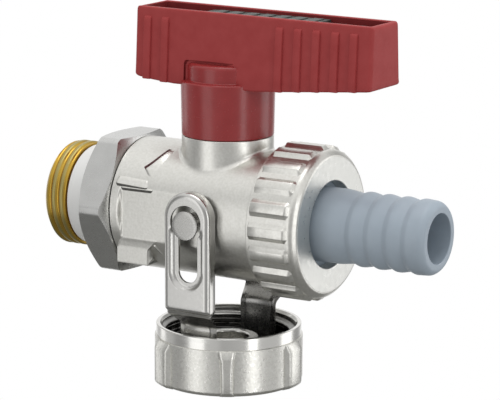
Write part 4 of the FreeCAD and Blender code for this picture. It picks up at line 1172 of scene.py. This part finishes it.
def strap_sheet():
    """Pressed strap as one skin given the sheet's thickness."""
    build = bmesh.new()
    loops = leg_face_loops()
    rows = [[build.verts.new(Vector(point) * MM) for point in loop] for loop in loops]
    for lower, upper in zip(rows, rows[1:]):
        total = len(lower)
        for index in range(total):
            after = (index + 1) % total
            build.faces.new((lower[index], lower[after], upper[after], upper[index]))
    open_sheet(build, leg_rim_loops())
    open_sheet(build, bend_rows())
    bmesh.ops.remove_doubles(build, verts=build.verts, dist=3e-6)
    bmesh.ops.dissolve_degenerate(build, edges=build.edges, dist=1e-6)
    bmesh.ops.recalc_face_normals(build, faces=build.faces)
    mesh = bpy.data.meshes.new("strap_leg")
    build.to_mesh(mesh)
    build.free()
    mesh.shade_smooth()
    mesh.materials.append(STAINLESS)
    mesh.materials.append(SHEET_INSIDE_PAINTED_SHADE)
    leg = bpy.data.objects.new("strap_leg", mesh)
    bpy.context.scene.collection.objects.link(leg)
    toward = sum(1 for face in mesh.polygons if face.normal.y < -0.9)
    away = sum(1 for face in mesh.polygons if face.normal.y > 0.9)
    if away > toward:
        mesh.flip_normals()
    thick = leg.modifiers.new("sheet", "SOLIDIFY")
    thick.thickness = 0.55 * MM
    thick.offset = -1
    round_off = leg.modifiers.new("edges", "BEVEL")
    round_off.width = 0.06 * MM
    round_off.segments = 2
    round_off.limit_method = "ANGLE"
    round_off.angle_limit = math.radians(50)
    plain_copy(leg)
    # Painted shade: faces turned toward the body take the darker inside material, which shows on the back leg across
    # the cap.
    for face in leg.data.polygons:
        face.material_index = 1 if face.normal.y > 0.2 else 0
    return leg


def strap_pieces():
    """Front leg, its mirror at the back, and the band across the cap's floor."""
    front = strap_sheet()
    front.name = "strap_front_leg"
    back_mesh = front.data.copy()
    back_mesh.transform(Matrix.Diagonal((1, -1, 1, 1)))
    back_mesh.flip_normals()
    back = bpy.data.objects.new("strap_back_leg", back_mesh)
    bpy.context.scene.collection.objects.link(back)
    band = lathe("strap_band", [
        (-30.55, 2.65), (-30.55, 5.6, 0.1), (-30.0, 5.6, 0.1), (-30.0, 2.65),
    ], STAINLESS, axis="Z", x=STRAP_X, radius=0.05, closed=True)
    for piece in (front, back):
        piece.data.set_sharp_from_angle(angle=math.radians(35))
    return [front, back, band]


def strap_pin(name, side):
    """Pin with a flat, faintly domed head and rounded edge."""
    def at(depth):
        return side * depth

    return lathe(name, [
        (at(11.6), 0), (at(11.6), 1.95), (at(15.86), 1.95, 0.1), (at(15.86), 2.83, 0.12),
        (at(16.24), 2.83, 0.22), (at(16.3), 2.3, 0.3), (at(16.33), 0),
    ], PIN_STEEL, axis="Y", x=STRAP_X, radius=0.1)


# Cap

CAP_RIM = -22.1
CAP_LOW = -33.6


def cap_cup():
    """Cast part of the cap below its machined rim."""
    return lathe("cap_cup", [
        (CAP_LOW + 0.85, 0), (CAP_LOW + 0.85, 4.1, 0), (CAP_LOW, 4.1, 0.15), (CAP_LOW, 13.95, 0.45), (CAP_LOW + 0.6, 14.55, 0.45), (CAP_RIM - 2.35, 14.58, 0.15),
        (CAP_RIM - 2.3, 14.2), (CAP_RIM - 2.2, 13.4), (-31.6, 13.4), (-31.6, 0),
    ], COARSE, axis="Z", x=STRAP_X, radius=0.1, steps=192)


def cap_rim():
    """Machined rim and the thread inside it."""
    steps = 160
    loops = [circle(radius, steps, about_z(height, STRAP_X)) for height, radius in soften([
        (-31.5, CAP_THREAD + 0.05, 0), (CAP_RIM - 2.45, CAP_THREAD + 0.06, 0), (CAP_RIM - 2.4, 14.28, 0.05),
        (CAP_RIM, 14.3, 0.22), (CAP_RIM, 13.55, 0.12), (CAP_RIM - 0.5, 13.25, 0),
    ], 0.1)]
    start = CAP_RIM - 0.55
    end = -30.2
    count = 76
    for row in range(count + 1):
        height = start + (end - start) * row / count
        fade = min((start - height) / 1.2, 1, (height - end) / 0.8)
        loop = []
        for index in range(steps):
            turns = height / THREAD_PITCH - index / steps
            radius = CAP_THREAD - THREAD_DEPTH * thread_height(turns) * max(fade, 0)
            angle = 2 * math.pi * index / steps
            loop.append(about_z(height, STRAP_X)(radius, angle))
        loops.append(loop)
    loops.append(circle(CAP_THREAD, steps, about_z(-31.5, STRAP_X)))

    # Painted shade: faces inside the cap below the rim take the darker inside material.
    def inside(middle, normal):
        return middle.z < CAP_RIM - 0.6 and (middle.x - STRAP_X) * normal.x + middle.y * normal.y < 0

    return repaint(shell("cap_rim", loops, TURNED_Z, ring=True), CAP_INSIDE_PAINTED_SHADE, inside)


def cap_rib(name, half_root, half_crest, crest, first, flare):
    """Three ribs round the cap, cut back above by the turned bevel and rounded below."""
    rows = [(CAP_LOW + 0.1, crest - 1.1), (CAP_LOW + 0.3, crest - 0.5), (CAP_LOW + 0.7, crest - 0.12),
            (CAP_LOW + 1.1, crest), (CAP_LOW + 4, crest), (CAP_RIM - 4.0, crest),
            (CAP_RIM - 3.75, crest - 0.05), (CAP_RIM - 2.45, 14.72)]
    loops = []
    for height, top in rows:
        lift = max(top - 14.3, 0.05)
        root = 14.2
        shape = [(half_root, 0), (half_crest + 0.32, 0.62), (half_crest + 0.12, 0.9), (half_crest - 0.15, 1.0)]
        loop = []
        for across, share in shape:
            loop.append((across, root + (lift + 0.1) * share))
        for across in (half_crest * 0.5, 0, -half_crest * 0.5):
            loop.append((across, root + lift + 0.1))
        for across, share in reversed(shape):
            loop.append((-across, root + (lift + 0.1) * share))
        points = []
        wide = 1 + flare * smoothstep(CAP_RIM - 4.6, CAP_RIM - 2.8, height)
        for across, radius in loop:
            angle = across * wide / 14.9
            points.append((radius * math.sin(angle), -radius * math.cos(angle), height))
        points.append((0, -13.8, height))
        loops.append(points)
    rib = shell(name, loops, COARSE, sharp=38)
    return repeat(
        rib, AROUND, count=3, first_angle=math.radians(first), step_angle=math.radians(120),
        axis=(0, 0, 1), centre=(STRAP_X * MM, 0, 0), material=COARSE,
    )


def rivet_ring():
    """Ring head of the rivet, with its shank and foot."""
    return lathe("rivet_ring", [
        (-33.2, 0), (-33.2, 2.2, 0.3), (-33.55, 2.8, 0.3), (-33.55, 3.95, 0.3), (-32.6, 3.95, 0.1), (-32.6, 2.5),
        (-29.93, 2.5),
        (-29.93, 5.9, 0.3), (-25.0, 5.9, 0.45), (-25.0, 3.9, 0.35), (-29.3, 3.9, 0.2), (-29.3, 0),
    ], TURNED_Z, axis="Z", x=STRAP_X, radius=0.1)


# Assembly

def place(piece, body, slot, *nodes):
    """Make a finished piece move with a body and stand for the nodes named."""
    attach(piece, body)
    if nodes:
        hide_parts(*nodes)


def build():
    place(inlet_thread(), "valve", "turned_nickel", "end_connector")
    place(inlet_hexagon(), "valve", "turned_nickel", "end_connector")
    place(seal_ring(), "valve", "white_plastic", "thread_seal_ring")
    for piece in (
        body_casting(),
        body_neck(),
        *shoulder_crease(),
        ledge("cast_ledge_upper", (7.9, 5.72), (15.3, 5.38), 1.5, 0.3),
        ledge("cast_ledge_lower", (9.2, 4.95), (16.6, 5.0), 0.3, 0.13),
    ):
        place(piece, "valve", "cast_nickel", "valve_body")
    place(outlet_thread(), "valve", "cast_nickel", "valve_body")
    for piece in (
        handle_bar(),
        handle_hub(),
        grip_ribs("grip_ribs_long_arm", STEM_X + 14.6, 5, 4.0),
        grip_ribs("grip_ribs_short_arm", STEM_X - 14.9, 2, 4.0),
    ):
        place(piece, "handle", "red_plastic", "handle")
    place(insert_plate(), "handle", "grey_plastic", "handle_insert")
    for piece in (nut_body(), nut_ribs(), nut_face()):
        place(piece, "nut", "cast_nickel", "hose_nut")
    place(hose_tail(), "tail", "blue_grey_plastic", "hose_tail")
    for piece in strap_pieces():
        place(piece, "strap", "strap_steel", "strap")
    place(strap_pin("pin_front", -1), "pins", "turned_nickel", "strap_pin_front")
    place(strap_pin("pin_rear", 1), "pins", "turned_nickel", "strap_pin_rear")
    for piece in (
        cap_cup(),
        cap_rim(),
        cap_rib("cap_ribs_narrow", 1.5, 0.8, 15.4, 30.4, 0.6),
        cap_rib("cap_ribs_broad", 3.0, 2.1, 15.5, 90.4, 0.1),
    ):
        place(piece, "cap", "cast_nickel", "cap")
    place(rivet_ring(), "cap", "turned_nickel", "strap_rivet")


def dress_nodes():
    """Materials for the pieces that keep their solid's own shape."""
    finishes = {
        "ball": CHROME,
        "ball_seat_inlet": WHITE,
        "ball_seat_outlet": WHITE,
        "stem": BRASS,
        "stem_washer": WHITE,
        "stem_o_ring_lower": RUBBER,
        "stem_o_ring_upper": RUBBER,
        "handle_screw": STAINLESS,
        "hose_gasket": RUBBER,
        "cap_gasket": RUBBER,
    }
    for name, material in finishes.items():
        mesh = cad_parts[name].data
        mesh.materials.clear()
        mesh.materials.append(material)


# Studio

AZIMUTH = 31.288
ELEVATION = 11.977
ROLL = 0.213
DISTANCE = 496.07
TARGET = Vector((31.355, 0, 2.732))
LENS = 184.3


def add_camera():
    """Camera where the photograph was taken from."""
    azimuth = math.radians(AZIMUTH)
    elevation = math.radians(ELEVATION)
    roll = math.radians(ROLL)
    back = Vector((
        math.sin(azimuth) * math.cos(elevation),
        -math.cos(azimuth) * math.cos(elevation),
        math.sin(elevation),
    ))
    level_right = Vector((0, 0, 1)).cross(back).normalized()
    level_up = back.cross(level_right)
    right = level_right * math.cos(roll) + level_up * math.sin(roll)
    up = back.cross(right)
    spot = (TARGET + back * DISTANCE) * MM
    data = bpy.data.cameras.new("photo_camera")
    data.lens = LENS
    data.sensor_width = 36
    data.sensor_fit = "HORIZONTAL"
    data.clip_start = 0.01
    camera = bpy.data.objects.new("photo_camera", data)
    axes = Matrix((right, up, back)).transposed().to_4x4()
    camera.matrix_world = Matrix.Translation(spot) @ axes
    bpy.context.scene.collection.objects.link(camera)
    bpy.context.scene.camera = camera


CAMERA_SIDE = Vector((math.sin(math.radians(AZIMUTH)), -math.cos(math.radians(AZIMUTH)), 0))
CAMERA_RIGHT = Vector((math.cos(math.radians(AZIMUTH)), math.sin(math.radians(AZIMUTH)), 0))


def add_lamp(name, spot, size, radiance):
    """Rectangular soft box that faces the object, with the brightness that it shows."""
    data = bpy.data.lights.new(name, "AREA")
    data.shape = "RECTANGLE"
    data.size = size[0] * MM
    data.size_y = size[1] * MM
    data.energy = 4 * radiance * data.size * data.size_y
    lamp = bpy.data.objects.new(name, data)
    lamp.location = spot * MM
    aim = Vector((STEM_X, 0, spot.z if size[1] > size[0] else 0))
    lamp.rotation_euler = (aim - spot).normalized().to_track_quat("-Z", "Y").to_euler()
    bpy.context.scene.collection.objects.link(lamp)


def add_strip(name, turn, spread_angle, low, high, radiance, distance=650):
    """Tall soft box at an angle from the camera, between two heights."""
    angle = math.radians(turn)
    along = CAMERA_SIDE * math.cos(angle) + CAMERA_RIGHT * math.sin(angle)
    width = 2 * distance * math.tan(math.radians(spread_angle / 2))
    spot = Vector((STEM_X, 0, (low + high) / 2)) + along * distance
    add_lamp(name, spot, (width, high - low), radiance)


def add_floor():
    """Round plain floor, pale in the view and darker in the light that it gives back, soft at its edge."""
    build = bmesh.new()
    bmesh.ops.create_circle(build, cap_ends=True, segments=96, radius=380 * MM)
    material = bpy.data.materials.new("studio_floor_paint")
    material.use_nodes = True
    tree = material.node_tree
    tree.nodes.clear()
    rays = add(tree, "ShaderNodeLightPath")
    tone = add(tree, "ShaderNodeMix", {
        "Factor": rays.outputs["Is Camera Ray"],
        "A": colour("#787876"),
        "B": colour("#f1f1ef"),
    }, data_type="RGBA")
    paint = add(tree, "ShaderNodeBsdfDiffuse", {"Color": tone.outputs["Result"]})
    place = add(tree, "ShaderNodeTexCoord").outputs["Object"]
    reach = add(tree, "ShaderNodeVectorMath", {0: place}, operation="LENGTH")
    edge = add(tree, "ShaderNodeMapRange", {
        "Value": reach.outputs["Value"],
        "From Min": 300 * MM,
        "From Max": 375 * MM,
    }, interpolation_type="SMOOTHSTEP")
    clear = add(tree, "ShaderNodeBsdfTransparent")
    mixed = add(tree, "ShaderNodeMixShader", {
        "Fac": edge.outputs["Result"],
        1: paint.outputs["BSDF"],
        2: clear.outputs["BSDF"],
    })
    add(tree, "ShaderNodeOutputMaterial", {"Surface": mixed.outputs["Shader"]})
    floor = finish_mesh("studio_floor", bpy.data.meshes.new("studio_floor"), build, material)
    floor.location = (STEM_X * MM, 0, -250 * MM)
    floor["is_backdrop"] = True


ROOM = [
    (-180, 1.0), (-162, 1.0), (-150, 0.55), (-112, 0.55), (-98, 0.48), (-91, 0.33), (-76, 0.33), (-69, 0.48),
    (-35, 0.6), (-18, 0.58), (-10, 0.46), (25, 0.52), (50, 0.58), (85, 0.58), (122, 0.48), (134, 0.34),
    (148, 0.45), (162, 1.0), (180, 1.0),
]


def set_world():
    """White in the view; round the object a grey room in front and a white backdrop behind."""
    world = bpy.data.worlds.new("studio")
    bpy.context.scene.world = world
    world.use_nodes = True
    tree = world.node_tree
    tree.nodes.clear()
    direction = add(tree, "ShaderNodeTexCoord").outputs["Generated"]
    ahead = add(tree, "ShaderNodeVectorMath", {0: direction, 1: CAMERA_SIDE}, operation="DOT_PRODUCT")
    beside = add(tree, "ShaderNodeVectorMath", {0: direction, 1: CAMERA_RIGHT}, operation="DOT_PRODUCT")
    turn = add(tree, "ShaderNodeMath", {
        0: beside.outputs["Value"],
        1: ahead.outputs["Value"],
    }, operation="ARCTAN2")
    share = add(tree, "ShaderNodeMapRange", {
        "Value": turn.outputs["Value"],
        "From Min": -math.pi,
        "From Max": math.pi,
    })
    ramp = add(tree, "ShaderNodeValToRGB", {"Fac": share.outputs["Result"]})
    stops = ramp.color_ramp.elements
    while len(stops) < len(ROOM):
        stops.new(0.5)
    for stop, (angle, tone) in zip(stops, ROOM):
        stop.position = (angle + 180) / 360
        stop.color = (tone, tone, tone, 1)
    height = add(tree, "ShaderNodeSeparateXYZ", {"Vector": direction})
    overhead = add(tree, "ShaderNodeMapRange", {
        "Value": height.outputs["Z"],
        "From Min": 0.3,
        "From Max": 0.75,
    }, interpolation_type="SMOOTHSTEP")
    room = add(tree, "ShaderNodeMix", {
        "Factor": overhead.outputs["Result"],
        "A": ramp.outputs["Color"],
        "B": (1.0, 1.0, 1.0, 1),
    }, data_type="RGBA")
    rays = add(tree, "ShaderNodeLightPath")
    seen = add(tree, "ShaderNodeMix", {
        "Factor": rays.outputs["Is Camera Ray"],
        "A": room.outputs["Result"],
        "B": colour("#ffffff"),
    }, data_type="RGBA")
    back = add(tree, "ShaderNodeBackground", {"Color": seen.outputs["Result"], "Strength": 1.0})
    add(tree, "ShaderNodeOutputWorld", {"Surface": back.outputs["Background"]})


def studio():
    add_camera()
    add_floor()
    set_world()
    add_strip("key_left", -51.5, 26, -430, 330, 0.66)
    add_strip("edge_right", 38.5, 13, -330, 330, 1.6)
    add_strip("side_right", 105, 28, -330, 330, 0.85)
    add_strip("side_left", -127, 16, -330, 330, 0.5)
    add_lamp("overhead", Vector((STEM_X, 60, 650)), (440, 440), 1.5)
    bpy.context.scene.view_settings.view_transform = "Standard"


def write_sizes():
    boxes = [[list(corner) for corner in box] for box in (CAD_BOX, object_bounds())]


build()
dress_nodes()
studio()
write_sizes()
